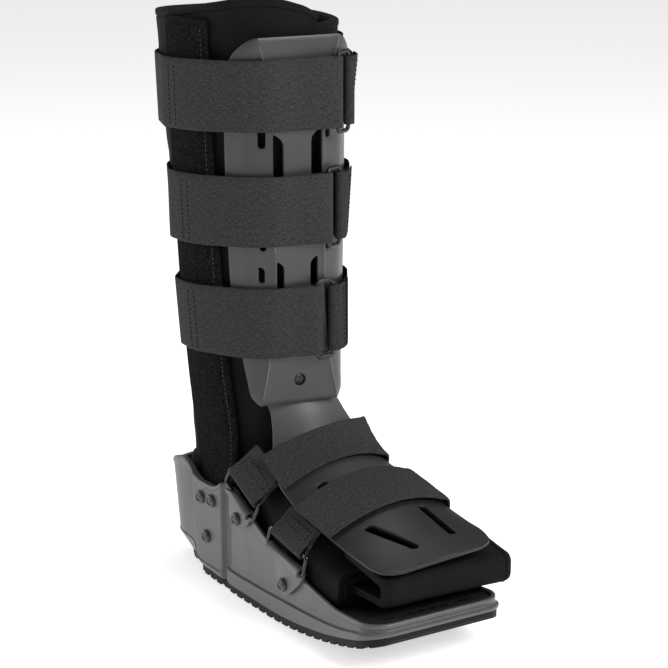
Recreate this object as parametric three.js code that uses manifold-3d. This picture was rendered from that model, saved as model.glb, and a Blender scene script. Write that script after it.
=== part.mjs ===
// Tall medical walking boot. Millimetres, +Z up, toe towards -Y, the wearer's left side at +X.
// The frame's origin is on the floor, below the middle of the boot's box.

import * as THREE from "three";
import { mergeVertices } from "three/addons/utils/BufferGeometryUtils.js";
import Module from "manifold-3d";

const wasm = await Module();
wasm.setup();
const { lerp, degToRad, clamp, smoothstep } = THREE.MathUtils;

// Driving dimensions: clearances
const GAP = 0.35; // between pieces that touch
const WRAP_GAP = 1.15; // between a calf strap and what it lies on

// Driving dimensions: foot base
const FOOT_LENGTH = 301; // wall outline, toe to heel
const TOE_WIDTH = 111;
const HEEL_WIDTH = 92.4;
const TOE_CORNER = 17;
const HEEL_CORNER = 41;
const WALL = 2.6;
const WALL_EDGE = 1.2; // height of the rounded top edge
const COUNTER_HEIGHT = 88; // highest point of the wall
const FLANGE = 3.2; // how far the lower flange stands out
const FLANGE_FILLET = 3;
const BAND_RISE = 2.4; // how far the band over each stay stands out
const HEEL_TUCK = 7.5; // how far the wall draws in below the heel
const RIM_WIDTH = 5; // of the lower edge that the outsole meets
const WALL_LEAN = 0.068; // outward slope of the heel counter
const FLOOR_HEIGHT = 21.5;
const FLOOR_THICKNESS = 4;

// Driving dimensions: sole
const SOLE_THICKNESS = 6;
const SOLE_INSET = 1; // from the flange's edge
const TOE_SPRING = 22; // rise of the sole at the toe
const HEEL_SPRING = 5;
const ROCKER_START = 0.47; // share of the length, from the toe, where the flat middle begins
const ROCKER_END = 0.78;
const LUG_PITCH = 11;
const LUG_DEPTH = 2.2;
const INSOLE_THICKNESS = 5;
const INSOLE_GAP = 0.6; // to the wall
const FLOOR_CLEARANCE = 0.55; // above a curved floor

// Driving dimensions: leg
const BOOT_HEIGHT = 438;
const LEG_WIDTH = 126; // liner at the top, outside
const LEG_DEPTH = 156;
const LEG_FRONT_AT = 0.523; // share of the foot's length, from the toe, of the shin line
const FRONT_POWER = 2.1; // fullness of the leg's section, front half and back half
const BACK_POWER = 2.4;
const LINER_THICKNESS = 7;
const LINER_LAP = 0.8; // between the two layers at the front
const FLAP_EDGE = -12; // degrees round the leg where the outer layer starts
const FLAP_UNDER = 398; // degrees where the inner layer stops below it
const LINER_FOOT_WALL = 5;

// Driving dimensions: toe flap
const FLAP_WIDTH = 110;
const FLAP_SHIFT = 18; // towards the wearer's left
const FLAP_HEIGHT = 23;
const FLAP_THICKNESS = 6.5;
const FLAP_FRONT = 0.032; // share of the foot's length
const FLAP_DEPTH = 52;
const FLAP_ROUND = 7;
const FLAP_LIFT = 4.3; // above the insole
const FLAP_SLOPE = 0.17; // of the upper layer, rising towards the ankle

// Driving dimensions: side stays
const STAY_WIDTH = 50;
const STAY_THICKNESS = 4;
const STAY_GAP = 1.1; // to the liner
const STAY_AT = 0.74; // share of the foot's length of the stay's middle
const STAY_TOP = 422;
const STAY_TOP_FAR = 405; // the strip on the wearer's left
const STAY_BACKSET = 5; // how far the strip leans back at its top
const STAY_TAPER = 0.1; // share of its width lost at its top

// Driving dimensions: front panels
const PANEL_BOTTOM = 147;
const PANEL_TOP = 412;
const PANEL_WIDTH = 114; // along the face, wing to wing
const PANEL_THICKNESS = 3;
const PANEL_TURN = 9; // degrees about the leg, towards the wearer's right
const PANEL_SHIFT = 8.2; // of its middle, towards the wearer's right
const PANEL_FRONT = 5; // behind the shin line
const WING_BEND = 28; // degrees at the crease, and again halfway out
const PEG_DIAMETER = 11;
const HOLE_DIAMETER = 9;
const HOLE_HEIGHT = 164;
const INSTEP_WIDTH = 98;
const INSTEP_THICKNESS = 3;
const INSTEP_TILT = 0.07; // rise of the plate towards the wearer's left

// Driving dimensions: straps
const STRAP_WIDTH = 50.8;
const STRAP_THICKNESS = 1.5;
const STRAP_TILT = 2.7; // degrees, lower at the back
const FOOT_END_WIDTH = 42;
const FOOT_STRAP_THICKNESS = 2.2;
const RING_BAR = 3.2; // width of a loop's bars, seen from outside
const RING_THICKNESS = 2.6;
const RING_WIDTH = 16.5;
const RING_CLEARANCE = 1.2; // above and below the strap inside a loop
const RING_REACH = 9.5; // degrees round the leg where a strap lies flat again beside its loop
const RING_RAMP = 14; // degrees over which its outer layer comes down
const BAND_END = 258; // degrees, where a strap stops on the far side
const FOOT_STRAP_LIFT = 2.3; // above the instep panel
const WIRE = 3.2;
const BAR_OUT = 5; // from the wall to the middle of a wire ring's bar
const FOLD_OUT = 3.2; // from the wall to the middle of its other side
const TUBE_DIAMETER = 8;
const TAB_THICKNESS = 2.4;
const TAB_GAP = 0.8; // to the curved wall
const END_LAP = 8; // how far a foot strap's end reaches below the strap
const ANCHOR_HEIGHT = 18;
const RIVET_DIAMETER = 10;
const RIVET_HEIGHT = 2.6;

// Small helpers for tables: a row for each section, with named columns
const rows = (names, ...values) =>
  values.map((row) => Object.fromEntries(names.map((name, i) => [name, row[i]])));

function read(table, at, column) {
  if (at <= table[0].at) return table[0][column];
  for (let i = 1; i < table.length; i++) {
    const low = table[i - 1];
    const high = table[i];
    if (at <= high.at) return lerp(low[column], high[column], (at - low.at) / (high.at - low.at));
  }
  return table[table.length - 1][column];
}

const span = (from, to, count) =>
  Array.from({ length: count + 1 }, (_, i) => lerp(from, to, i / count));

const point = (x, y, z) => new THREE.Vector3(x, y, z);

// Geometry helpers
function signedVolume(points, faces) {
  let volume = 0;
  for (const [a, b, c] of faces) {
    volume += points[a].dot(points[b].clone().cross(points[c])) / 6;
  }
  return volume;
}

function closedBody(points, faces) {
  const outward = signedVolume(points, faces) > 0;
  const index = faces.flatMap(([a, b, c]) => (outward ? [a, b, c] : [a, c, b]));
  const geometry = new THREE.BufferGeometry();
  const values = points.flatMap((p) => [p.x, p.y, p.z]);
  geometry.setAttribute("position", new THREE.Float32BufferAttribute(values, 3));
  geometry.setIndex(index);
  return weld(geometry);
}

// Merges shared vertices and drops the faces that this makes empty
function weld(source) {
  const bare = new THREE.BufferGeometry();
  bare.setAttribute("position", source.getAttribute("position"));
  if (source.index) bare.setIndex(source.index);
  const merged = mergeVertices(bare, 1e-4);
  const old = merged.index.array;
  const kept = [];
  for (let i = 0; i < old.length; i += 3) {
    const [a, b, c] = [old[i], old[i + 1], old[i + 2]];
    if (a !== b && b !== c && c !== a) kept.push(a, b, c);
  }
  merged.setIndex(kept);
  return merged;
}

function capFaces(ring) {
  const normal = point(0, 0, 0);
  ring.forEach((p, i) => normal.add(p.clone().cross(ring[(i + 1) % ring.length])));
  normal.normalize();
  const side = Math.abs(normal.z) < 0.9 ? point(0, 0, 1) : point(1, 0, 0);
  const u = side.cross(normal).normalize();
  const v = normal.clone().cross(u);
  const flat = ring.map((p) => new THREE.Vector2(p.dot(u), p.dot(v)));
  const faces = THREE.ShapeUtils.triangulateShape(flat, []);
  const [a, b, c] = faces[0].map((i) => flat[i]);
  const first = (b.x - a.x) * (c.y - a.y) - (b.y - a.y) * (c.x - a.x);
  const agrees = first > 0 === THREE.ShapeUtils.area(flat) > 0;
  return agrees ? faces : faces.map(([p, q, r]) => [p, r, q]);
}

// Joins rings of equally many points; "around" joins the last ring to the first
function loft(rings, around = false) {
  const n = rings[0].length;
  const faces = [];
  const steps = around ? rings.length : rings.length - 1;
  for (let i = 0; i < steps; i++) {
    const a = i * n;
    const b = ((i + 1) % rings.length) * n;
    for (let j = 0; j < n; j++) {
      const k = (j + 1) % n;
      faces.push([a + j, b + j, b + k], [a + j, b + k, a + k]);
    }
  }
  if (!around) {
    const end = (rings.length - 1) * n;
    capFaces(rings[0]).forEach(([p, q, r]) => faces.push([p, q, r]));
    capFaces(rings[rings.length - 1]).forEach(([p, q, r]) => faces.push([end + p, end + r, end + q]));
  }
  return closedBody(rings.flat(), faces);
}

function toSolid(geometry) {
  const welded = weld(geometry);
  return new wasm.Manifold(
    new wasm.Mesh({
      numProp: 3,
      vertProperties: Float32Array.from(welded.getAttribute("position").array),
      triVerts: Uint32Array.from(welded.index.array),
    }),
  );
}

function toGeometry(solid) {
  const mesh = solid.getMesh();
  const geometry = new THREE.BufferGeometry();
  const values = Float32Array.from(mesh.vertProperties);
  geometry.setAttribute("position", new THREE.BufferAttribute(values, 3));
  geometry.setIndex(Array.from(mesh.triVerts));
  return weld(geometry);
}

const cut = (geometry, tools) =>
  toGeometry(tools.reduce((solid, tool) => solid.subtract(toSolid(tool)), toSolid(geometry)));

// Frames: a piece modelled round the origin is put at a place, with its X and Z axes given
function place(geometry, origin, xAxis, zAxis) {
  const z = zAxis.clone().normalize();
  const x = xAxis.clone().addScaledVector(z, -xAxis.dot(z)).normalize();
  const matrix = new THREE.Matrix4().makeBasis(x, z.clone().cross(x), z);
  return geometry.clone().applyMatrix4(matrix.setPosition(origin));
}

// Materials
const finish = (name, color, roughness, metalness = 0) =>
  new THREE.MeshStandardMaterial({ name, color, roughness, metalness });

const FINISHES = {
  shell: () => finish("shell_grey", 0x5f5f61, 0.45),
  panel: () => finish("panel_grey", 0x444446, 0.5),
  rubber: () => finish("sole_black", 0x1a1a1b, 0.85),
  foam: () => finish("insole_dark", 0x2a2a2b, 0.95),
  liner: () => finish("liner_black", 0x17181b, 0.95),
  fuzz: () => finish("hook_strip_black", 0x131313, 1),
  strap: () => finish("strap_heather", 0x3d3d3e, 0.9),
  plastic: () => finish("loop_black", 0x262627, 0.4),
  wire: () => finish("wire_black", 0x2b2b2c, 0.35, 0.6),
  rivet: () => finish("rivet_grey", 0x4c4c4e, 0.4),
};

const boot = new THREE.Group();
const footprint = new THREE.Group();
boot.add(footprint);

function piece(name, geometry, finishName) {
  const mesh = new THREE.Mesh(weld(geometry), FINISHES[finishName]());
  mesh.name = name;
  footprint.add(mesh);
  return mesh;
}

const mirrorX = (geometry) => {
  const copy = geometry.clone().applyMatrix4(new THREE.Matrix4().makeScale(-1, 1, 1));
  const index = Array.from(copy.index.array);
  for (let i = 0; i < index.length; i += 3) [index[i + 1], index[i + 2]] = [index[i + 2], index[i + 1]];
  copy.setIndex(index);
  return copy;
};

// Foot base: sizes along its length
const HALF_LENGTH = FOOT_LENGTH / 2;
const alongFoot = (share) => -HALF_LENGTH + share * FOOT_LENGTH;
const footShare = (y) => clamp((y + HALF_LENGTH) / FOOT_LENGTH, 0, 1);
const FRONT_CENTRE = alongFoot(TOE_CORNER / FOOT_LENGTH);
const HEEL_CENTRE = HALF_LENGTH - HEEL_CORNER;

function rocker(y) {
  const at = (y + HALF_LENGTH) / FOOT_LENGTH;
  if (at < ROCKER_START) return TOE_SPRING * ((ROCKER_START - at) / ROCKER_START) ** 2;
  if (at > ROCKER_END) return HEEL_SPRING * ((at - ROCKER_END) / (1 - ROCKER_END)) ** 2;
  return 0;
}

// The wall's edge: top and ridge are shares of COUNTER_HEIGHT, flare and foot of FLANGE at the ridge and at
// the lower edge, band of BAND_RISE, tuck of HEEL_TUCK, lean of WALL_LEAN
const WALL_TABLE = rows(
  ["at", "top", "ridge", "flare", "foot", "band", "tuck", "lean"],
  [0, 0.418, 0.355, 1, 0.8, 0, 0, 0],
  [0.069, 0.406, 0.315, 1, 0.9, 0, 0, 0],
  [0.108, 0.398, 0.285, 1, 1, 0, 0, 0],
  [0.145, 0.395, 0.265, 1, 1, 0, 0, 0],
  [0.22, 0.426, 0.24, 1, 1, 0, 0, 0],
  [0.287, 0.472, 0.225, 1, 1, 0, 0, 0],
  [0.38, 0.54, 0.212, 1, 1, 0, 0, 0],
  [0.464, 0.636, 0.2, 1, 1, 0, 0, 0],
  [0.526, 0.727, 0.195, 1, 1, 0, 0, 0],
  [0.582, 0.807, 0.19, 1, 1, 0, 0, 0],
  [0.64, 0.88, 0.19, 0.9, 0.9, -0.1, 0, 0],
  [0.661, 0.918, 0.19, 0.3, 0.3, -0.5, 0, 0],
  [0.67, 0.926, 0.17, 0.1, 0, -0.4, 0, 0],
  [0.681, 0.925, 0.13, 0.85, 0.5, 0.9, 0, 0.1],
  [0.69, 0.9, 0.12, 0.9, 0.6, 1, 0, 0.1],
  [0.71, 0.868, 0.12, 0.9, 0.6, 1, 0, 0.15],
  [0.735, 0.853, 0.12, 0.9, 0.5, 1, 0.05, 0.2],
  [0.772, 0.852, 0.12, 0.9, 0.5, 1, 0.1, 0.3],
  [0.796, 0.872, 0.13, 0.9, 0.4, 1, 0.2, 0.4],
  [0.811, 0.9, 0.15, 0.9, 0.3, 1, 0.3, 0.5],
  [0.818, 0.925, 0.2, 0.6, 0, 0.6, 0.5, 0.6],
  [0.83, 0.975, 0.25, 0.5, 0, 0.6, 0.8, 0.8],
  [0.855, 1, 0.27, 0.5, 0, 0.6, 1, 1],
  [0.888, 0.977, 0.275, 0.5, 0, 0.6, 1, 1],
  [0.91, 0.945, 0.275, 0.5, 0, 0.6, 1, 1],
  [0.932, 0.903, 0.275, 0.5, 0, 0.6, 1, 1],
  [0.951, 0.864, 0.275, 0.5, 0, 0.6, 1, 1],
  [0.968, 0.847, 0.275, 0.5, 0, 0.6, 1, 1],
  [1, 0.83, 0.275, 0.5, 0, 0.6, 1, 1],
);

function wallSizes(y) {
  const at = footShare(y);
  const get = (column) => read(WALL_TABLE, at, column);
  const bottom = rocker(y) + SOLE_THICKNESS;
  const ridge = Math.max(get("ridge") * COUNTER_HEIGHT, bottom + 1.5);
  const top = get("top") * COUNTER_HEIGHT;
  const tuck = get("tuck") * HEEL_TUCK;
  return {
    bottom,
    ridge,
    top,
    foot: get("foot") * FLANGE - tuck,
    flare: get("flare") * FLANGE,
    face: get("band") * BAND_RISE,
    lean: get("lean") * WALL_LEAN * (top - ridge),
  };
}

const floorUnder = (y) =>
  Math.max(FLOOR_HEIGHT - FLOOR_THICKNESS + 0.4 * rocker(y), rocker(y) + SOLE_THICKNESS + 0.6);
const floorTop = (y) => floorUnder(y) + FLOOR_THICKNESS;
const insoleTop = (y) => floorTop(y) + FLOOR_CLEARANCE + INSOLE_THICKNESS;

function wallHalfWidth(y) {
  const at = (y - FRONT_CENTRE) / (HEEL_CENTRE - FRONT_CENTRE);
  return lerp(TOE_WIDTH, HEEL_WIDTH, clamp(at, 0, 1)) / 2;
}

// Half width of the foot's outline, drawn in by an inset, at a place along the foot
function outlineHalfWidth(y, inset) {
  if (y < FRONT_CENTRE) {
    const r = TOE_CORNER - inset;
    const rise = Math.max(r * r - (FRONT_CENTRE - y) ** 2, 0);
    return TOE_WIDTH / 2 - TOE_CORNER + Math.sqrt(rise);
  }
  if (y > HEEL_CENTRE) {
    const r = HEEL_CORNER - inset;
    const rise = Math.max(r * r - (y - HEEL_CENTRE) ** 2, 0);
    return HEEL_WIDTH / 2 - HEEL_CORNER + Math.sqrt(rise);
  }
  return wallHalfWidth(y) - inset;
}

// The wall's outline on the wearer's right, from the middle of the toe to the middle of the heel
function outlineStations() {
  const stations = [
    { x: 0, y: -HALF_LENGTH, nx: 0, ny: -1 },
    { x: -(TOE_WIDTH / 2 - TOE_CORNER) / 2, y: -HALF_LENGTH, nx: 0, ny: -1 },
  ];
  const arc = (cx, cy, radius, from, to, steps) =>
    span(from, to, steps).forEach((angle) => {
      const nx = Math.cos(degToRad(angle));
      const ny = Math.sin(degToRad(angle));
      stations.push({ x: cx + radius * nx, y: cy + radius * ny, nx, ny });
    });
  arc(TOE_CORNER - TOE_WIDTH / 2, FRONT_CENTRE, TOE_CORNER, 270, 180, 5);
  for (const { at } of WALL_TABLE) {
    const y = alongFoot(at);
    if (y > FRONT_CENTRE + 2 && y < HEEL_CENTRE - 2) {
      stations.push({ x: -wallHalfWidth(y), y, nx: -1, ny: 0 });
    }
  }
  arc(HEEL_CORNER - HEEL_WIDTH / 2, HEEL_CENTRE, HEEL_CORNER, 180, 90, 8);
  stations.push({ x: 0, y: HALF_LENGTH, nx: 0, ny: 1 });
  return stations;
}

function baseShell() {
  const right = outlineStations();
  const left = right.slice(1, -1).reverse().map((s) => ({ ...s, x: -s.x, nx: -s.nx }));
  const loop = [...right, ...left];
  const section = (s) => {
    const w = wallSizes(s.y);
    const out = w.face + w.lean;
    const low = (y) => rocker(y) + SOLE_THICKNESS;
    const chain = [
      [w.foot - RIM_WIDTH, floorUnder],
      [w.foot - RIM_WIDTH, low],
      [w.foot, low],
      [Math.max(w.flare, w.foot), () => w.ridge],
      [w.face, () => w.ridge + FLANGE_FILLET],
      [out, () => w.top - WALL_EDGE],
      [(out + w.lean - WALL) / 2, () => w.top],
      [w.lean - WALL, () => w.top - WALL_EDGE],
      [-WALL, floorTop],
    ];
    return chain.map(([offset, height]) => {
      const y = s.y + s.ny * offset;
      return point(s.x + s.nx * offset, y, height(y));
    });
  };
  const sections = loop.map(section);
  const n = sections[0].length;
  const faces = [];
  const id = (station, j) => (station % loop.length) * n + j;
  const quad = (a, b, c, d) => faces.push([a, b, c], [a, c, d]);
  loop.forEach((_, i) => {
    for (let j = 0; j < n - 1; j++) quad(id(i, j), id(i + 1, j), id(i + 1, j + 1), id(i, j + 1));
  });
  const mirror = (i) => (loop.length - i) % loop.length;
  for (let i = 0; i < right.length - 1; i++) {
    const [a, b, c, d] = [i, i + 1, mirror(i + 1), mirror(i)];
    quad(id(a, n - 1), id(b, n - 1), id(c, n - 1), id(d, n - 1));
    quad(id(b, 0), id(a, 0), id(d, 0), id(c, 0));
  }
  return closedBody(sections.flat(), faces);
}

// Outsole: a plate that follows the rocker, with lugs across it
function lugDepth(y) {
  const phase = (((y + HALF_LENGTH) / LUG_PITCH) % 1 + 1) % 1;
  const [land, slope, floor] = [0.56, 0.66, 0.9];
  if (phase < land) return 0;
  if (phase < slope) return (LUG_DEPTH * (phase - land)) / (slope - land);
  if (phase < floor) return LUG_DEPTH;
  return (LUG_DEPTH * (1 - phase)) / (1 - floor);
}

function soleInset(y) {
  return SOLE_INSET - wallSizes(y).foot;
}

function outsole() {
  const front = -HALF_LENGTH + soleInset(-HALF_LENGTH) + 0.01;
  const back = HALF_LENGTH - soleInset(HALF_LENGTH) - 0.01;
  const places = [];
  span(0, 90, 5).forEach((a) => {
    places.push(lerp(front, FRONT_CENTRE, 1 - Math.cos(degToRad(a))));
    places.push(lerp(back, HEEL_CENTRE, 1 - Math.cos(degToRad(a))));
  });
  for (let k = 0; k * LUG_PITCH < FOOT_LENGTH; k++) {
    for (const phase of [0, 0.56, 0.66, 0.9]) places.push(-HALF_LENGTH + (k + phase) * LUG_PITCH);
  }
  const inside = places.filter((y) => y >= front && y <= back).sort((a, b) => a - b);
  const kept = inside.filter((y, i) => i === 0 || y - inside[i - 1] > 0.3);
  const rings = kept.map((y) => {
    const w = outlineHalfWidth(y, soleInset(y));
    const low = rocker(y) + lugDepth(y);
    const high = rocker(y) + SOLE_THICKNESS - GAP;
    return [point(-w, y, low), point(w, y, low), point(w, y, high), point(-w, y, high)];
  });
  return loft(rings);
}

function insole() {
  const inset = WALL + INSOLE_GAP;
  const front = -HALF_LENGTH + inset + 0.02;
  const back = HALF_LENGTH - inset - 0.02;
  const places = [
    ...span(0, 90, 5).map((a) => lerp(front, FRONT_CENTRE, 1 - Math.cos(degToRad(a)))),
    ...span(FRONT_CENTRE, HEEL_CENTRE, 9).slice(1, -1),
    ...span(90, 0, 6).map((a) => lerp(back, HEEL_CENTRE, 1 - Math.cos(degToRad(a)))),
  ];
  const soften = 1.6;
  const rings = places.map((y) => {
    const w = outlineHalfWidth(y, inset);
    const low = floorTop(y) + FLOOR_CLEARANCE;
    const high = insoleTop(y);
    return [
      point(-w, y, low), point(w, y, low), point(w, y, high - soften),
      point(w - soften, y, high), point(soften - w, y, high), point(-w, y, high - soften),
    ];
  });
  return loft(rings);
}

// Leg: the liner's outside. Columns: half is a share of LEG_WIDTH, front and back of LEG_DEPTH from the shin line
const SHIN_Y = alongFoot(LEG_FRONT_AT);
const LEG_TABLE = rows(
  ["at", "half", "front", "back"],
  [0.192, 0.308, 0.125, 0.865],
  [0.251, 0.33, 0.115, 0.86],
  [0.342, 0.38, 0.104, 0.825],
  [0.477, 0.431, 0.092, 0.805],
  [0.662, 0.458, 0.084, 0.88],
  [0.78, 0.468, 0.08, 0.95],
  [0.88, 0.475, 0.078, 0.99],
  [1, 0.49, 0.078, 1.005],
);

function legSize(z) {
  const at = z / BOOT_HEIGHT;
  const front = SHIN_Y + read(LEG_TABLE, at, "front") * LEG_DEPTH;
  const back = SHIN_Y + read(LEG_TABLE, at, "back") * LEG_DEPTH;
  const half = read(LEG_TABLE, at, "half") * LEG_WIDTH;
  return { half, depth: (back - front) / 2, middle: (back + front) / 2 };
}

// A point round the leg: 0 degrees is the front, 90 the wearer's right, 180 the back
function legPoint(z, degrees, offset = 0) {
  const { half, depth, middle } = legSize(z);
  const s = Math.sin(degToRad(degrees));
  const c = Math.cos(degToRad(degrees));
  const power = 2 / (c > 0 ? FRONT_POWER : BACK_POWER);
  const x = -half * Math.sign(s) * Math.abs(s) ** power;
  const y = -depth * Math.sign(c) * Math.abs(c) ** power;
  const normal = point(x / (half * half), y / (depth * depth), 0).normalize();
  return point(x + normal.x * offset, middle + y + normal.y * offset, z);
}

// The liner's top edge: height is a share of BOOT_HEIGHT, at is in degrees round the leg
const TOP_TABLE = rows(
  ["at", "height"],
  [-12, 0.972],
  [0, 0.987],
  [20, 0.999],
  [36, 1],
  [60, 0.991],
  [100, 0.971],
  [143, 0.961],
  [180, 0.957],
  [270, 0.952],
  [330, 0.95],
  [350, 0.942],
  [398, 0.93],
);
const LINER_BOTTOM = COUNTER_HEIGHT - 4;

function linerOffset(degrees) {
  return -smoothstep(degrees, 296, 338) * (LINER_THICKNESS + LINER_LAP);
}

function linerCalf() {
  const levels = [0, 0.09, 0.19, 0.36, 0.58, 0.8, 0.985];
  const angles = [...span(FLAP_EDGE, 288, 25), ...span(300, FLAP_UNDER, 8)];
  const rings = angles.map((degrees) => {
    const top = read(TOP_TABLE, degrees, "height") * BOOT_HEIGHT;
    const heights = levels.map((share) => lerp(LINER_BOTTOM, top, share));
    const outer = linerOffset(degrees);
    const inner = outer - LINER_THICKNESS;
    return [
      ...heights.map((z) => legPoint(z, degrees, outer)),
      legPoint(top, degrees, (outer + inner) / 2),
      ...[...heights].reverse().map((z) => legPoint(z, degrees, inner)),
    ];
  });
  return loft(rings);
}

// Side stays: fabric strips that stand inside the base's wall and run up the sides of the leg
const STAY_Y = alongFoot(STAY_AT);
const STAY_LEVELS = [0, 0.08, 0.14, 0.2, 0.26, 0.32, 0.4, 0.48, 0.58, 0.68, 0.79, 0.9, 1];

function stayAcross(z) {
  const high = smoothstep(z, STAY_TOP * 0.45, STAY_TOP);
  const width = STAY_WIDTH * (1 - STAY_TAPER * high);
  return [-0.5, -0.25, 0, 0.25, 0.5].map((share) => STAY_Y + STAY_BACKSET * high + share * width);
}

function stayInner(z, y) {
  const wallInner = wallHalfWidth(STAY_Y + STAY_WIDTH / 2) - WALL - GAP;
  const flat = wallInner - STAY_THICKNESS;
  const { half, depth, middle } = legSize(z);
  const power = y < middle ? FRONT_POWER : BACK_POWER;
  const reach = clamp(1 - Math.abs((y - middle) / depth) ** power, 0, 1) ** (1 / power);
  const onLeg = half * reach + STAY_GAP;
  const blend = smoothstep(z, COUNTER_HEIGHT - 2, COUNTER_HEIGHT + 75);
  return Math.max(lerp(flat, onLeg, blend), z > COUNTER_HEIGHT ? onLeg : 0);
}

function stayCover(top) {
  const bottom = Math.max(insoleTop(STAY_Y - STAY_WIDTH / 2), insoleTop(STAY_Y + STAY_WIDTH / 2)) + FLOOR_CLEARANCE;
  const rings = STAY_LEVELS.map((share) => {
    const z = lerp(bottom, top, share);
    const across = stayAcross(z);
    return [
      ...across.map((y) => point(-stayInner(z, y) - STAY_THICKNESS, y, z)),
      ...[...across].reverse().map((y) => point(-stayInner(z, y), y, z)),
    ];
  });
  return loft(rings);
}

// Tibial panel: crease and edge are shares of PANEL_WIDTH from its middle
const PANEL_TABLE = rows(
  ["at", "crease", "edge"],
  [0, 0.259, 0.275],
  [0.023, 0.25, 0.333],
  [0.068, 0.228, 0.36],
  [0.155, 0.197, 0.404],
  [0.355, 0.167, 0.474],
  [0.755, 0.164, 0.5],
  [0.88, 0.195, 0.491],
  [0.925, 0.228, 0.474],
  [0.955, 0.246, 0.439],
  [0.977, 0.259, 0.386],
  [0.992, 0.264, 0.333],
  [1, 0.268, 0.285],
);

const panelShare = (z) => (z - PANEL_BOTTOM) / (PANEL_TOP - PANEL_BOTTOM);

// A point on the panel's outer face, by its distance along the face, moved in by a depth
function panelPoint(z, along, depth = 0) {
  const crease = read(PANEL_TABLE, panelShare(z), "crease") * PANEL_WIDTH;
  const edge = read(PANEL_TABLE, panelShare(z), "edge") * PANEL_WIDTH;
  const side = Math.sign(along) || 1;
  const middle = (crease + edge) / 2;
  const reach = Math.abs(along);
  let x = Math.min(reach, crease);
  let y = 0;
  [[crease, middle, WING_BEND], [middle, edge + PANEL_WIDTH, 2 * WING_BEND]].forEach(([from, to, bend]) => {
    const length = clamp(reach - from, 0, to - from);
    x += length * Math.cos(degToRad(bend));
    y += length * Math.sin(degToRad(bend));
  });
  const facing = reach < crease ? 0 : reach < middle ? WING_BEND : 2 * WING_BEND;
  const mitre = reach === crease ? WING_BEND / 2 : reach === middle ? 1.5 * WING_BEND : facing;
  const thick = depth / Math.cos(degToRad(reach === crease || reach === middle ? WING_BEND / 2 : 0));
  x -= thick * Math.sin(degToRad(mitre));
  y += thick * Math.cos(degToRad(mitre));
  const turn = degToRad(PANEL_TURN);
  return point(
    -PANEL_SHIFT + side * x * Math.cos(turn) - y * -Math.sin(turn),
    SHIN_Y + PANEL_FRONT - side * x * Math.sin(turn) + y * Math.cos(turn),
    z,
  );
}

function panelMarks(z) {
  const crease = read(PANEL_TABLE, panelShare(z), "crease") * PANEL_WIDTH;
  const edge = read(PANEL_TABLE, panelShare(z), "edge") * PANEL_WIDTH;
  const middle = (crease + edge) / 2;
  return [-edge, -middle, -crease, crease, middle, edge];
}

// Slots: across is a share of PANEL_WIDTH, top and bottom of the panel's height, width in share of PANEL_WIDTH
const SLOT_TABLE = rows(
  ["across", "top", "bottom", "width", "slant"],
  [-0.14, 0.735, 0.48, 0.072, 0.03],
  [0.118, 0.745, 0.48, 0.072, -0.03],
  [-0.245, 0.79, 0.705, 0.05, 0],
  [0.205, 0.79, 0.725, 0.045, 0],
  [-0.128, 0.392, 0.19, 0.05, 0.02],
  [0.1, 0.4, 0.19, 0.05, -0.02],
  [-0.24, 0.45, 0.428, 0.04, 0],
  [-0.25, 0.382, 0.34, 0.04, 0.01],
  [0.2, 0.455, 0.42, 0.035, 0],
);

// A prism that goes right through a face: its outline is given as [along, z] pairs
function throughPanel(outline) {
  const front = outline.map(([along, z]) => panelPoint(z, along, -6));
  const back = outline.map(([along, z]) => panelPoint(z, along, PANEL_THICKNESS + 6));
  return loft([front, back]);
}

function slotOutline({ across, top, bottom, width, slant }) {
  const height = PANEL_TOP - PANEL_BOTTOM;
  const half = (width * PANEL_WIDTH) / 2;
  const high = PANEL_BOTTOM + top * height;
  const low = PANEL_BOTTOM + bottom * height;
  const along = across * PANEL_WIDTH;
  const tilt = slant * PANEL_WIDTH;
  const round = Math.min(half, (high - low) / 2);
  return [
    [along - half, low + round], [along - half / 2, low], [along + half / 2, low], [along + half, low + round],
    [along + half, high - round - tilt], [along + half / 2, high - tilt],
    [along - half / 2, high + tilt], [along - half, high - round + tilt],
  ];
}

function tibialPanel() {
  const heights = [...PANEL_TABLE.map((row) => row.at), 0.555].sort((a, b) => a - b);
  const rings = heights.map((share) => {
    const z = lerp(PANEL_BOTTOM, PANEL_TOP, share);
    const marks = panelMarks(z);
    return [
      ...marks.map((along) => panelPoint(z, along)),
      ...[...marks].reverse().map((along) => panelPoint(z, along, PANEL_THICKNESS)),
    ];
  });
  const hole = span(0, 2 * Math.PI, 14).slice(0, 14).map((a) => [
    (Math.cos(a) * HOLE_DIAMETER) / 2,
    HOLE_HEIGHT + (Math.sin(a) * HOLE_DIAMETER) / 2,
  ]);
  return cut(loft(rings), [...SLOT_TABLE.map(slotOutline), hole].map(throughPanel));
}

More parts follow.
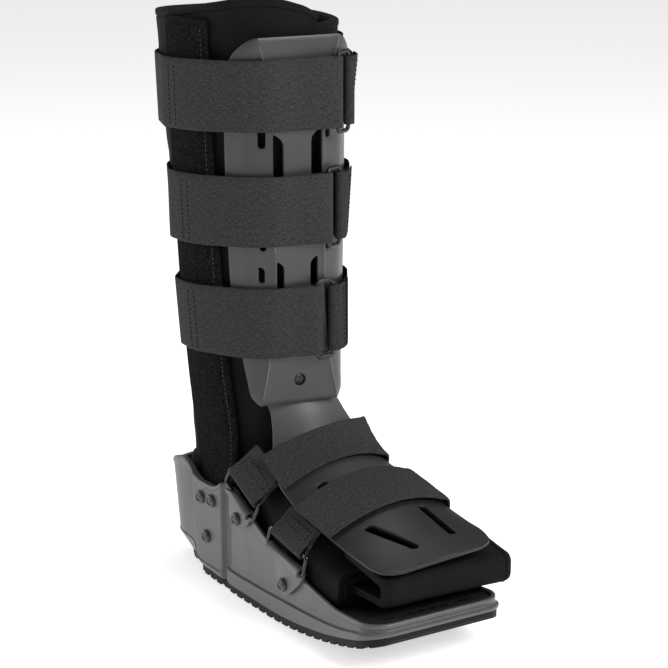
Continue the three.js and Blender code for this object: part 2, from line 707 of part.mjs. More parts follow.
// Instep panel: y and z are shares of FOOT_LENGTH and COUNTER_HEIGHT along its crest, pitch and turn in
// degrees, half a share of INSTEP_WIDTH, crown a share of it too, shift a share of it
const INSTEP_TABLE = rows(
  ["at", "y", "z", "pitch", "half", "crown", "shift", "turn"],
  [0, 0.025, 0.818, 86, 0.34, 0.01, 0.08, 2],
  [0.018, 0.035, 0.83, 84, 0.42, 0.015, 0.08, 2],
  [0.05, 0.055, 0.852, 80, 0.475, 0.03, 0.075, 2],
  [0.11, 0.095, 0.9, 76, 0.5, 0.055, 0.07, 2],
  [0.19, 0.14, 0.972, 74, 0.5, 0.1, 0.06, 2],
  [0.3, 0.218, 1.068, 73, 0.5, 0.135, 0.045, 3],
  [0.42, 0.3, 1.145, 74, 0.5, 0.14, 0.03, 4],
  [0.54, 0.385, 1.212, 72, 0.48, 0.135, 0.02, 5],
  [0.63, 0.445, 1.28, 62, 0.45, 0.135, 0.02, 6],
  [0.7, 0.482, 1.375, 48, 0.4, 0.125, 0.022, 7],
  [0.77, 0.511, 1.49, 34, 0.34, 0.105, 0.025, 8],
  [0.84, 0.536, 1.6, 18, 0.295, 0.09, 0.02, 9],
  [0.9, 0.552, 1.7, 5, 0.275, 0.08, -0.015, 9],
  [1, 0.5545, 1.96, 0, 0.24, 0.06, -0.065, 9],
);

// A point over the instep panel: across runs over the panel from its middle, lift is above its face
function instepPoint(at, across, lift = 0) {
  const get = (column) => read(INSTEP_TABLE, at, column);
  const pitch = degToRad(get("pitch"));
  const turn = degToRad(get("turn"));
  const half = get("half") * INSTEP_WIDTH;
  const crown = get("crown") * INSTEP_WIDTH;
  const drop = crown * (across / half) ** 2;
  const slope = Math.atan((2 * crown * across) / (half * half));
  const out = -drop + lift * Math.cos(slope);
  const side = across + lift * Math.sin(slope);
  const normal = point(0, -Math.cos(pitch), Math.sin(pitch));
  return point(
    get("shift") * INSTEP_WIDTH + side * Math.cos(turn),
    alongFoot(get("y")) - side * Math.sin(turn) * (1 - Math.sin(pitch)) + normal.y * out,
    get("z") * COUNTER_HEIGHT + side * INSTEP_TILT * Math.sin(pitch) + normal.z * out,
  );
}

// The room that the panel takes up, up to a height above it, for cutting what ends there
function instepRoom(above) {
  const rings = INSTEP_TABLE.map(({ at, half }) => {
    const reach = half * INSTEP_WIDTH + 0.6;
    const marks = [-1, -0.6, -0.2, 0.2, 0.6, 1].map((share) => share * reach);
    return [
      ...marks.map((across) => instepPoint(at, across, above)),
      ...[...marks].reverse().map((across) => instepPoint(at, across, -INSTEP_THICKNESS - 0.6)),
    ];
  });
  return loft(rings);
}

function instepPanel() {
  const spread = [-1, -0.78, -0.5, -0.2, 0.2, 0.5, 0.78, 1];
  const rings = INSTEP_TABLE.map(({ at, half }) => {
    const marks = spread.map((share) => share * half * INSTEP_WIDTH);
    return [
      ...marks.map((across) => instepPoint(at, across)),
      ...[...marks].reverse().map((across) => instepPoint(at, across, -INSTEP_THICKNESS)),
    ];
  });
  return cut(loft(rings), INSTEP_SLOTS.map(throughInstep));
}

// Slots over the toes and between the straps: from and to along the crest, the rest shares of INSTEP_WIDTH
const INSTEP_SLOTS = rows(
  ["from", "to", "start", "end", "width"],
  [0.085, 0.255, -0.102, -0.276, 0.066],
  [0.1, 0.27, 0.245, 0.214, 0.066],
  [0.475, 0.53, -0.245, -0.245, 0.092],
  [0.475, 0.53, 0.276, 0.276, 0.071],
);

function throughInstep({ from, to, start, end, width }) {
  const outline = [
    [from, start - width / 2], [from, start + width / 2],
    [to, end + width / 2], [to, end - width / 2],
  ];
  return loft(
    [5, -INSTEP_THICKNESS - 5].map((lift) =>
      outline.map(([at, across]) => instepPoint(at, across * INSTEP_WIDTH, lift)),
    ),
  );
}

// Peg: a round head in the tibial panel's hole, on a foot that stands on the instep panel's top
function panelPeg() {
  const [head, foot] = [PEG_DIAMETER * 0.35, PEG_DIAMETER * 0.3];
  const low = -PANEL_THICKNESS - INSTEP_THICKNESS;
  const profile = [[0, low], [foot, low], [foot, -2.4], [head, -2.2], [head, -1.3], [head * 0.64, -0.8], [0, -0.7]].map(
    ([r, h]) => new THREE.Vector2(r, h),
  );
  const lathe = new THREE.LatheGeometry(profile, 14).rotateX(Math.PI / 2);
  const face = panelPoint(HOLE_HEIGHT, 0);
  const out = panelPoint(HOLE_HEIGHT, 0, -1).sub(face);
  return cut(place(lathe, face, point(1, 0, 0), out), [instepRoom(GAP + 0.1)]);
}

// Liner foot: crest is a share of COUNTER_HEIGHT, half of half the TOE_WIDTH, flat of the width at the crest
const LINER_FOOT_TABLE = rows(
  ["at", "crest", "half", "flat"],
  [0.18, 0.66, 0.86, 0.8],
  [0.22, 0.73, 0.87, 0.7],
  [0.265, 0.87, 0.87, 0.55],
  [0.33, 0.99, 0.85, 0.5],
  [0.4, 1.08, 0.825, 0.45],
  [0.46, 1.15, 0.8, 0.45],
  [0.5, 1.19, 0.78, 0.5],
  [0.535, 1.21, 0.76, 0.55],
  [0.548, 0.945, 0.75, 0.9],
  [0.62, 0.945, 0.69, 0.92],
  [0.82, 0.945, 0.69, 0.92],
  [0.9, 0.945, 0.67, 0.92],
  [0.95, 0.945, 0.52, 0.92],
  [0.978, 0.945, 0.3, 0.92],
);

function linerFootRings(inset) {
  const first = LINER_FOOT_TABLE[0].at;
  const last = LINER_FOOT_TABLE[LINER_FOOT_TABLE.length - 1].at;
  return LINER_FOOT_TABLE.map(({ at, crest, half, flat }) => {
    const inward = inset / FOOT_LENGTH;
    const y = alongFoot(clamp(at, first + inward, last - inward));
    const width = (half * TOE_WIDTH) / 2 - inset;
    const low = insoleTop(y) + FLOOR_CLEARANCE + inset;
    const high = crest * COUNTER_HEIGHT - inset;
    const corner = lerp(low, high, 0.45);
    return [
      point(-width * 0.92, y, low), point(width * 0.92, y, low), point(width, y, low + 4),
      point(width, y, corner), point(width * lerp(0.94, 0.99, flat), y, lerp(corner, high, 0.55)),
      point(width * flat, y, lerp(corner, high, 0.93)), point(width * flat * 0.45, y, high),
      point(-width * flat * 0.45, y, high), point(-width * flat, y, lerp(corner, high, 0.93)),
      point(-width * lerp(0.94, 0.99, flat), y, lerp(corner, high, 0.55)), point(-width, y, corner),
      point(-width, y, low + 4),
    ];
  });
}

function linerFoot() {
  const opening = [LINER_BOTTOM - 30, LINER_BOTTOM + 40].map((z) =>
    span(0, 360, 28).slice(0, 28).map((a) => {
      const p = legPoint(LINER_BOTTOM, a, -LINER_THICKNESS);
      return point(p.x, p.y, z);
    }),
  );
  return cut(loft(linerFootRings(0)), [loft(linerFootRings(LINER_FOOT_WALL)), loft(opening)]);
}

// Toe flap: the padded toe end folded over at the front, open between its two layers
function toeFlap() {
  const front = alongFoot(FLAP_FRONT);
  const low = insoleTop(front) + FLAP_LIFT;
  const outer = (inset) => {
    const r = FLAP_ROUND - inset * 0.6;
    const bottom = low + inset;
    const top = low + FLAP_HEIGHT - inset;
    const face = front + inset;
    const corner = (y, z, from, to) =>
      span(from, to, 4).map((a) => [y + r * Math.cos(degToRad(a)), z + r * Math.sin(degToRad(a))]);
    return [
      [front + FLAP_DEPTH, top + FLAP_SLOPE * FLAP_DEPTH],
      ...corner(face + r, top - r, 100, 180),
      ...corner(face + r, bottom + r, 180, 270),
      [alongFoot(LINER_FOOT_TABLE[0].at) - GAP, bottom],
    ];
  };
  const profile = [...outer(0), ...outer(FLAP_THICKNESS).reverse()];
  const half = FLAP_WIDTH / 2;
  const ends = rows(
    ["x", "shrink", "sag"],
    [-1, 0.93, 0], [-0.95, 1, 0], [0, 1, 0.4], [0.82, 1, 1.4], [0.94, 0.94, 1.8], [1, 0.72, 2],
  );
  const middleZ = low + FLAP_HEIGHT / 2;
  const rings = ends.map(({ x, shrink, sag }) =>
    profile.map(([y, z]) =>
      point(FLAP_SHIFT + x * half, lerp(front + FLAP_DEPTH / 2, y, shrink), lerp(middleZ, z, shrink) - sag + FLOOR_CLEARANCE + 0.8),
    ),
  );
  return loft(rings);
}

// Calf straps: how far from the leg's middle each strap lies, round the liner, the stay covers and the panel
function hullPoints(z) {
  const points = span(0, 360, 60).slice(0, 60).map((a) => legPoint(z, a));
  for (const side of [-1, 1]) {
    for (const y of stayAcross(z)) points.push(point(side * (stayInner(z, y) + STAY_THICKNESS), y, z));
  }
  if (z > PANEL_BOTTOM && z < PANEL_TOP) {
    panelMarks(z).forEach((along) => points.push(panelPoint(z, along)));
  }
  return points;
}

function convexHull(points) {
  const sorted = [...points].sort((a, b) => a.x - b.x || a.y - b.y);
  const turn = (a, b, c) => (b.x - a.x) * (c.y - a.y) - (b.y - a.y) * (c.x - a.x);
  const half = (list) => {
    const kept = [];
    for (const p of list) {
      while (kept.length > 1 && turn(kept[kept.length - 2], kept[kept.length - 1], p) <= 0) kept.pop();
      kept.push(p);
    }
    return kept.slice(0, -1);
  };
  return [...half(sorted), ...half(sorted.reverse())];
}

const hulls = new Map();

function hullReach(z, degrees) {
  if (!hulls.has(z)) hulls.set(z, convexHull(hullPoints(z)));
  const hull = hulls.get(z);
  const centre = legSize(z).middle;
  const d = [-Math.sin(degToRad(degrees)), -Math.cos(degToRad(degrees))];
  let reach = 0;
  hull.forEach((p, i) => {
    const q = hull[(i + 1) % hull.length];
    const [ex, ey] = [q.x - p.x, q.y - p.y];
    const det = d[0] * ey - d[1] * ex;
    if (Math.abs(det) < 1e-9) return;
    const t = (p.x * ey - (p.y - centre) * ex) / det;
    const u = (p.x * d[1] - (p.y - centre) * d[0]) / det;
    if (t > 0 && u >= -1e-6 && u <= 1 + 1e-6) reach = Math.max(reach, t);
  });
  return reach;
}

// The wrap is a polygon round the hull, with a corner at every step; its sides clear what lies below
const WRAP_STEP = 7.5;

function chordRadius(r1, r2, share) {
  const whole = degToRad(WRAP_STEP);
  const a = whole * share;
  return (r1 * r2 * Math.sin(whole)) / (r1 * Math.sin(a) + r2 * Math.sin(whole - a));
}

const corners = new Map();

function cornerRadius(z, k) {
  const level = Math.round(z * 2) / 2;
  const key = `${level}_${k}`;
  if (!corners.has(key)) {
    const at = (step) => hullReach(level, step * WRAP_STEP);
    let extra = 0;
    for (const side of [-1, 1]) {
      for (const share of [0.2, 0.4, 0.6, 0.8]) {
        extra = Math.max(extra, at(k + side * share) - chordRadius(at(k), at(k + side), share));
      }
    }
    corners.set(key, at(k) + extra);
  }
  return corners.get(key);
}

function wrapRadius(z, degrees) {
  const step = degrees / WRAP_STEP;
  const k = Math.floor(step + 1e-6);
  const share = step - k;
  if (share < 1e-4) return cornerRadius(z, k);
  return chordRadius(cornerRadius(z, k), cornerRadius(z, k + 1), share);
}

function wrapPoint(z, degrees, offset) {
  const r = wrapRadius(z, degrees) + offset;
  return point(-Math.sin(degToRad(degrees)) * r, legSize(z).middle - Math.cos(degToRad(degrees)) * r, z);
}

const STRAP_TABLE = rows(
  ["height", "ring", "end", "tail"],
  [0.8485, -15, 97, -80],
  [0.661, -12.5, 93, -80],
  [0.4765, -7, 95, -80],
);
const INNER_LAYER = WRAP_GAP + STRAP_THICKNESS / 2;
const OUTER_LAYER = INNER_LAYER + STRAP_THICKNESS + GAP;
const BAR_OFFSET = INNER_LAYER + STRAP_THICKNESS / 2 + GAP + 0.25 + RING_THICKNESS / 2;
const TURN_ALONG = RING_BAR / 2 + GAP + 0.2 + STRAP_THICKNESS / 2;
const TURN_OUT = RING_THICKNESS / 2 + GAP + 0.25 + STRAP_THICKNESS / 2;
const BAR_SPREAD = RING_WIDTH - RING_BAR;

// Where a loop lies: its middle, the direction round the leg and the direction away from it
function ringFrame({ height, ring }) {
  const z = height * BOOT_HEIGHT;
  const here = wrapPoint(z, ring, 0);
  const ahead = wrapPoint(z, ring + 3, 0).sub(wrapPoint(z, ring - 3, 0)).normalize();
  const out = point(ahead.y, -ahead.x, 0);
  if (out.dot(here.clone().sub(point(0, legSize(z).middle, z))) < 0) out.negate();
  let lift = 0;
  for (const level of [-0.5, 0, 0.5]) {
    for (const near of span(-9, 9, 6)) {
      const below = wrapPoint(z + level * STRAP_WIDTH, ring + near, 0).sub(here).setZ(0);
      if (Math.abs(below.dot(ahead)) < RING_WIDTH * 0.6) lift = Math.max(lift, below.dot(out));
    }
  }
  here.addScaledVector(out, lift);
  return { z, here, ahead, out };
}

// The wrap's corners between two angles, with both ends
function wrapAngles(from, to) {
  const low = Math.min(from, to);
  const high = Math.max(from, to);
  const inside = [];
  for (let k = Math.ceil(low / WRAP_STEP + 0.25); k < high / WRAP_STEP - 0.25; k++) inside.push(k * WRAP_STEP);
  const all = [low, ...inside, high];
  return from < to ? all : all.reverse();
}

// A strap in plan: the path's points, at the height of the ring, for one side of the ring's loop
function loopPath(strap, direction, innerEnd, outerEnd) {
  const { z, here, ahead, out } = ringFrame(strap);
  const near = (along, lift) => ({
    fixed: here.clone().addScaledVector(ahead, direction * along).addScaledVector(out, BAR_OFFSET + lift),
  });
  const start = strap.ring + direction * RING_REACH;
  const layer = (from, to, offset) => wrapAngles(from, to).map((a) => ({ angle: a, offset: offset(a) }));
  const inner = layer(innerEnd, start, () => INNER_LAYER);
  const lift = (a) => {
    const t = clamp(Math.abs(a - start) / RING_RAMP, 0, 1);
    return lerp(BAR_OFFSET + TURN_OUT, OUTER_LAYER, smoothstep(t, 0, 1));
  };
  const outer = layer(start, outerEnd, lift);
  const edge = BAR_SPREAD / 2 + RING_BAR / 2 + 1.2;
  const turnPoints = [
    near(edge, -TURN_OUT),
    ...span(-90, 90, 6).map((a) =>
      near(BAR_SPREAD / 2 - TURN_ALONG * Math.cos(degToRad(a)), TURN_OUT * Math.sin(degToRad(a))),
    ),
    near(edge, TURN_OUT),
  ];
  return { z, path: [...inner, ...turnPoints, ...outer] };
}

function strapHeight(p, z) {
  return z - (p.y - SHIN_Y) * Math.tan(degToRad(STRAP_TILT));
}

// How far the middle of a strap's width has to stand out beyond a straight line between its edges
function bulge(z, width, degrees) {
  const at = (level) => wrapRadius(z + (level * width) / 2, degrees);
  const [low, high] = [at(-1), at(1)];
  const extra = [-0.8, -0.6, -0.4, -0.2, 0, 0.2, 0.4, 0.6, 0.8].map((level) => at(level) - lerp(low, high, (level + 1) / 2));
  return Math.max(0, ...extra);
}

// Turns a path in plan into a strap: offsets half the thickness to both sides
function ribbon({ z, path }, width, thickness, taper = () => 1) {
  const plan = (level) =>
    path.map((step) => {
      const guess = step.fixed ?? wrapPoint(z, step.angle, step.offset);
      const middle = strapHeight(guess, z);
      const height = middle + (level * width) / 2;
      const p = step.fixed ?? wrapPoint(height, step.angle, step.offset + bulge(middle, width, step.angle));
      return point(p.x, p.y, height);
    });
  const low = plan(-1);
  const high = plan(1);
  const across = (points, i) => {
    const a = points[Math.max(i - 1, 0)];
    const b = points[Math.min(i + 1, points.length - 1)];
    return point(b.y - a.y, a.x - b.x, 0).normalize();
  };
  const rings = path.map((_, i) => {
    const half = (thickness / 2) * taper(i);
    const ring = [];
    ring.push(low[i].clone().addScaledVector(across(low, i), half));
    ring.push(high[i].clone().addScaledVector(across(high, i), half));
    ring.push(high[i].clone().addScaledVector(across(high, i), -half));
    ring.push(low[i].clone().addScaledVector(across(low, i), -half));
    return ring;
  });
  return loft(rings);
}

function calfStrap(strap) {
  return ribbon(loopPath(strap, 1, BAND_END, strap.end), STRAP_WIDTH, STRAP_THICKNESS);
}

function ringTab(strap) {
  return ribbon(loopPath(strap, -1, strap.tail, strap.ring - 26), STRAP_WIDTH - 2, STRAP_THICKNESS);
}

// A flat rounded loop round both bars
function roundedRectangle(width, height, radius) {
  const shape = new THREE.Shape();
  const [w, h] = [width / 2, height / 2];
  shape.moveTo(-w + radius, -h);
  shape.lineTo(w - radius, -h);
  shape.absarc(w - radius, -h + radius, radius, -Math.PI / 2, 0);
  shape.absarc(w - radius, h - radius, radius, 0, Math.PI / 2);
  shape.absarc(-w + radius, h - radius, radius, Math.PI / 2, Math.PI);
  shape.absarc(-w + radius, -h + radius, radius, Math.PI, 1.5 * Math.PI);
  return shape;
}

function calfRing(strap) {
  const { here, ahead, out } = ringFrame(strap);
  const height = STRAP_WIDTH + 2 * RING_CLEARANCE + 2 * RING_BAR;
  const shape = roundedRectangle(RING_WIDTH, height, RING_BAR);
  shape.holes.push(roundedRectangle(RING_WIDTH - 2 * RING_BAR, height - 2 * RING_BAR, 1.2));
  const soften = 0.8;
  const flat = new THREE.ExtrudeGeometry(shape, {
    depth: RING_THICKNESS - 2 * soften,
    bevelThickness: soften,
    bevelSize: soften,
    bevelOffset: -soften,
    bevelSegments: 1,
    curveSegments: 2,
  }).translate(0, 0, -RING_THICKNESS / 2 + soften);
  const z = strapHeight(here, strap.height * BOOT_HEIGHT);
  const middle = here.clone().setZ(z).addScaledVector(out, BAR_OFFSET);
  return place(flat, middle, ahead, out);
}

// Foot straps: front and rear along the instep's crest, the skews over the panel's width, from and to shares of
// INSTEP_WIDTH. On the wearer's left each runs down the wall: y and width of it in shares of FOOT_LENGTH, its top
// and its end in shares of COUNTER_HEIGHT
const FOOT_STRAPS = rows(
  ["name", "front", "frontSkew", "rear", "rearSkew", "from", "to", "wallAt", "wallTop", "wallEnd", "wallWidth"],
  ["foot_strap_1", 0.59, 0.029, 0.75, 0.059, -0.449, 0.469, 0.5465, 0.841, 0.5, 0.133],
  ["foot_strap_2", 0.29, 0.01, 0.497, 0.02, -0.51, 0.52, 0.3073, 0.568, 0.278, 0.126],
);
const FOOT_STRAP_MARKS = [0, 0.33, 0.67, 1]; // across the strap's width

function footStrapRings(strap, grow = 0) {
  const { front, frontSkew, rear, rearSkew, from, to } = strap;
  const inner = FOOT_STRAP_LIFT - grow;
  const outer = FOOT_STRAP_LIFT + FOOT_STRAP_THICKNESS + (grow ? 30 : 0);
  const over = span(from, to, 14).map((across) => {
    const marks = FOOT_STRAP_MARKS.map((share) =>
      lerp(front + frontSkew * across, rear + rearSkew * across, share),
    );
    return [
      ...marks.map((mark) => instepPoint(mark, across * INSTEP_WIDTH, inner)),
      ...[...marks].reverse().map((mark) => instepPoint(mark, across * INSTEP_WIDTH, outer)),
    ];
  });
  const { y, end, width } = wallPlace(strap);
  const levels = [[strap.wallTop * COUNTER_HEIGHT, 1.2], [end + ANCHOR_HEIGHT, GAP], [end, GAP]];
  const down = levels.map(([z, reach]) => {
    const ys = FOOT_STRAP_MARKS.map((share) => y + (share - 0.5) * width);
    const layer = (thick) => ys.map((at) => wallPoint(1, at, z, reach + thick + 0.1));
    return [...layer(0), ...layer(FOOT_STRAP_THICKNESS).reverse()];
  });
  return [...over, ...down];
}

const wallPlace = ({ wallAt, wallEnd, wallWidth }) => ({
  y: alongFoot(wallAt),
  end: wallEnd * COUNTER_HEIGHT,
  width: wallWidth * FOOT_LENGTH,
});

const footStrap = (strap) => loft(footStrapRings(strap));

// The base's side wall, as a place for rivets and tabs: y and z, and how far out
function wallPoint(side, y, z, out = 0) {
  const w = wallSizes(y);
  const rise = w.face + w.lean * clamp((z - w.ridge) / (w.top - w.ridge), 0, 1);
  return point(side * (wallHalfWidth(y) + rise + out), y, z);
}

function wallNormal(side, y, z) {
  const alongY = wallPoint(side, y + 2, z).sub(wallPoint(side, y - 2, z));
  const alongZ = wallPoint(side, y, z + 2).sub(wallPoint(side, y, z - 2));
  const normal = alongY.cross(alongZ).normalize();
  return normal.x * side < 0 ? normal.negate() : normal;
}

function rivet(side, y, z, out = GAP + 0.1) {
  const r = RIVET_DIAMETER / 2;
  const h = RIVET_HEIGHT;
  const profile = [[0, 0], [0.96, 0], [1, 0.3], [0.72, 1], [0.44, 0.95], [0.34, 0.55], [0, 0.5]].map(
    ([across, up]) => new THREE.Vector2(across * r, up * h),
  );
  const head = new THREE.LatheGeometry(profile, 9).rotateX(Math.PI / 2);
  const normal = wallNormal(side, y, z);
  return place(head, wallPoint(side, y, z).addScaledVector(normal, out), point(0, 1, 0), normal);
}

// Wire rings on the wearer's right. The bar lies in a tab on the wall, the fold holds the strap's end.
// Places are in shares of FOOT_LENGTH from the toe and of COUNTER_HEIGHT; alongY and alongZ are the bar's
// direction; wireWidth and tube are shares of FOOT_END_WIDTH, the end's reach shares of INSTEP_WIDTH
const WIRE_RINGS = rows(
  ["barAt", "barHeight", "foldAt", "foldHeight", "alongY", "alongZ", "wireWidth", "tube", "endX", "endY", "endZ"],
  [0.5714, 0.875, 0.5482, 1.017, -0.906, -0.423, 1.119, 0.786, 0.102, -0.133, 0.092],
  [0.3538, 0.608, 0.3455, 0.761, -0.985, -0.17, 1.262, 1.048, 0.102, 0.005, 0.133],
);

// The lower outline of each tab on the wall, from its rear corner to its front corner, in the same shares
const TAB_OUTLINES = [
  rows(
    ["at", "height"],
    [0.6296, 0.955], [0.6362, 0.795], [0.6329, 0.682], [0.6196, 0.619], [0.5997, 0.614],
    [0.5465, 0.676], [0.5199, 0.807], [0.5133, 0.909],
  ),
  rows(
    ["at", "height"],
    [0.4302, 0.75], [0.4269, 0.614], [0.407, 0.375], [0.397, 0.307], [0.3771, 0.278],
    [0.3555, 0.29], [0.294, 0.466], [0.2741, 0.614], [0.2708, 0.727],
  ),
];

const onWall = ({ at, height }) => [alongFoot(at), height * COUNTER_HEIGHT];

function wireFrame(ring) {
  const barPlace = onWall({ at: ring.barAt, height: ring.barHeight });
  const bar = wallPoint(-1, ...barPlace, BAR_OUT);
  const fold = wallPoint(-1, ...onWall({ at: ring.foldAt, height: ring.foldHeight }), FOLD_OUT);
  const normal = wallNormal(-1, ...barPlace);
  const along = point(0, ring.alongY, ring.alongZ);
  along.addScaledVector(normal, -along.dot(normal)).normalize();
  const up = fold.clone().sub(bar);
  up.addScaledVector(along, -up.dot(along));
  return { bar, fold, along, normal, up: up.clone().normalize(), reach: up.length() };
}

function wireRing(ring) {
  const { bar, along, up, reach } = wireFrame(ring);
  const half = (ring.wireWidth * FOOT_END_WIDTH - WIRE) / 2;
  const round = 2.6;
  const corners = [[-half, 0, 180, 270], [half, 0, 270, 360], [half, reach, 0, 90], [-half, reach, 90, 180]];
  const centres = corners.flatMap(([a, u, from, to]) => {
    const ca = a - Math.sign(a) * round;
    const cu = u === 0 ? round : reach - round;
    return span(from, to, 3).map((angle) => {
      const c = Math.cos(degToRad(angle));
      const s = Math.sin(degToRad(angle));
      return { a: ca + round * c, u: cu + round * s, c, s };
    });
  });
  const out = along.clone().cross(up);
  const rings = centres.map(({ a, u, c, s }) =>
    span(0, 2 * Math.PI, 7).slice(0, 7).map((turn) => {
      const r = (Math.cos(turn) * WIRE) / 2;
      return bar
        .clone()
        .addScaledVector(along, a + r * c)
        .addScaledVector(up, u + r * s)
        .addScaledVector(out, (Math.sin(turn) * WIRE) / 2);
    }),
  );
  return loft(rings, true);
}

// A prism along an axis: its outline is in u and v, round the origin
function prism(outline, origin, u, v, axis, length) {
  const end = (share) =>
    outline.map(([a, b]) =>
      origin.clone().addScaledVector(u, a).addScaledVector(v, b).addScaledVector(axis, share * length),
    );
  return loft([end(-0.5), end(0.5)]);
}

const circle = (radius, sides) =>
  span(0, 2 * Math.PI, sides).slice(0, sides).map((a) => [radius * Math.cos(a), radius * Math.sin(a)]);

function wireTab(ring, outline) {
  const { bar, along, normal: out } = wireFrame(ring);
  const down = along.clone().cross(out);
  if (down.z > 0) down.negate();
  const profile = tabProfile(TUBE_DIAMETER / 2, TAB_GAP - BAR_OUT);
  const length = ring.tube * FOOT_END_WIDTH;
  const body = prism(profile, bar, down, out, along, length);
  const bore = prism(circle(WIRE / 2 + GAP + 0.1, 12), bar, down, out, along, length + 10);
  const side = point(1, 0, 0);
  const shape = prism(outline.map(onWall), point(-TOE_WIDTH / 2, 0, 0), point(0, 1, 0), point(0, 0, 1), side, TOE_WIDTH);
  return toGeometry(toSolid(body).intersect(toSolid(shape)).subtract(toSolid(bore)));
}

// The tab seen along the bar: a tube that runs into a plate on the wall
function tabProfile(r, wall) {
  const tube = span(0, 270, 9).map((a) => [r * Math.cos(degToRad(a)), r * Math.sin(degToRad(a))]);
  const top = wall + TAB_THICKNESS;
  return [[60, wall], [60, top], [r + 1.2, top], ...tube, [0.2, wall]].filter(
    ([d, o], i, list) => i === 0 || Math.hypot(d - list[i - 1][0], o - list[i - 1][1]) > 0.05,
  );
}

// The strap's end: folded round the ring, its two layers lying on each other
function strapEnd(ring) {
  const { bar, along, up, reach } = wireFrame(ring);
  const top = bar.clone().addScaledVector(up, reach);
  const rise = point(ring.endX, ring.endY, ring.endZ).multiplyScalar(INSTEP_WIDTH);
  rise.addScaledVector(along, -rise.dot(along));
  const length = rise.length() + END_LAP;
  rise.normalize();
  const out = along.clone().cross(rise);
  if (out.x > 0) out.negate();
  const t = FOOT_STRAP_THICKNESS;
  const turn = WIRE / 2 + GAP;
  const narrow = t + GAP / 2;
  const outline = [
    [length, narrow], [11, narrow], [5, turn + t * 0.75],
    ...span(90, 270, 8).map((a) => [(turn + t) * Math.cos(degToRad(a)), (turn + t) * Math.sin(degToRad(a))]),
    [5, -turn - t * 0.75], [11, -narrow], [length, -narrow], [length, -GAP / 2], [10, -GAP / 2],
    [4, -turn * 0.7],
    ...span(270, 90, 8).map((a) => [turn * Math.cos(degToRad(a)), turn * Math.sin(degToRad(a))]),
    [4, turn * 0.7], [10, GAP / 2], [length, GAP / 2],
  ];
  return prism(outline, top, rise, out, along, FOOT_END_WIDTH - 4.5);
}

function strapAnchor(strap) {
  const { y, end, width } = wallPlace(strap);
  const reach = 2 * GAP + 0.1 + FOOT_STRAP_THICKNESS;
  const rings = [[0.06, 0.86], [0.17, 1], [0.83, 1], [0.94, 0.86]].map(([level, inset]) => {
    const ys = [-0.4, 0, 0.4].map((share) => y + share * width * inset);
    const layer = (thick) => ys.map((at) => wallPoint(1, at, end + level * ANCHOR_HEIGHT, reach + thick));
    return [...layer(0), ...layer(TAB_THICKNESS).reverse()];
  });
  return loft(rings);
}

const BAND_RIVETS = rows(["at", "height"], [0.7754, 0.71], [0.7226, 0.726], [0.7518, 0.38]);
const TAB_RIVETS = rows(["at", "height"], [0.5963, 0.693], [0.3738, 0.364]);

piece("base_shell", baseShell(), "shell");
piece("outsole", outsole(), "rubber");
piece("insole", insole(), "foam");
piece("liner_calf", linerCalf(), "liner");
piece("liner_foot", linerFoot(), "liner");
piece("toe_flap", toeFlap(), "liner");
piece("stay_cover_right", stayCover(STAY_TOP), "fuzz");
piece("stay_cover_left", mirrorX(stayCover(STAY_TOP_FAR)), "fuzz");
piece("tibial_panel", tibialPanel(), "panel");
piece("instep_panel", instepPanel(), "panel");
piece("panel_peg", panelPeg(), "plastic");
STRAP_TABLE.forEach((strap, i) => {
  piece(`calf_strap_${i + 1}`, calfStrap(strap), "strap");
  piece(`calf_ring_${i + 1}`, calfRing(strap), "plastic");
  piece(`ring_tab_${i + 1}`, ringTab(strap), "fuzz");
});
WIRE_RINGS.forEach((ring, i) => {
  const n = i + 1;
  const strap = FOOT_STRAPS[i];
  piece(strap.name, footStrap(strap), "strap");
  const above = { ...strap, from: strap.from - 1.2, front: strap.front - 0.01, rear: strap.rear + 0.01 };
  const room = [loft(footStrapRings(above, GAP + 0.2).slice(0, 15)), instepRoom(30)];
  piece(`foot_strap_end_${n}`, cut(strapEnd(ring), room), "strap");
  piece(`wire_ring_${n}`, wireRing(ring), "wire");
  piece(`wire_tab_${n}`, wireTab(ring, TAB_OUTLINES[i]), "shell");
  piece(`strap_anchor_${n}`, strapAnchor(strap), "shell");
  piece(`tab_rivet_${n}`, rivet(-1, ...onWall(TAB_RIVETS[i]), TAB_GAP + TAB_THICKNESS + GAP + 0.1), "rivet");
  const { y, end } = wallPlace(strap);
  const reach = 3 * GAP + 0.1 + FOOT_STRAP_THICKNESS + TAB_THICKNESS;
  piece(`anchor_rivet_${n}`, rivet(1, y, end + ANCHOR_HEIGHT / 2, reach), "rivet");
});
BAND_RIVETS.forEach((row, i) => {
  const [y, z] = onWall(row);
  piece(`band_rivet_right_${i + 1}`, rivet(-1, y, z), "rivet");
  piece(`band_rivet_left_${i + 1}`, rivet(1, y, z), "rivet");
});

const box = new THREE.Box3().setFromObject(boot);
footprint.position.set(-(box.min.x + box.max.x) / 2, -(box.min.y + box.max.y) / 2, -box.min.z);

export default boot;
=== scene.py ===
# Looks of a tall medical walking boot. Shapes are worked out in millimetres, with the toe towards -Y and the
# wearer's left at +X, and moved into the frame of the loaded model when a piece is made.
import math

import bpy
import numpy as np
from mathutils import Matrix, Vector
from mathutils.geometry import delaunay_2d_cdt


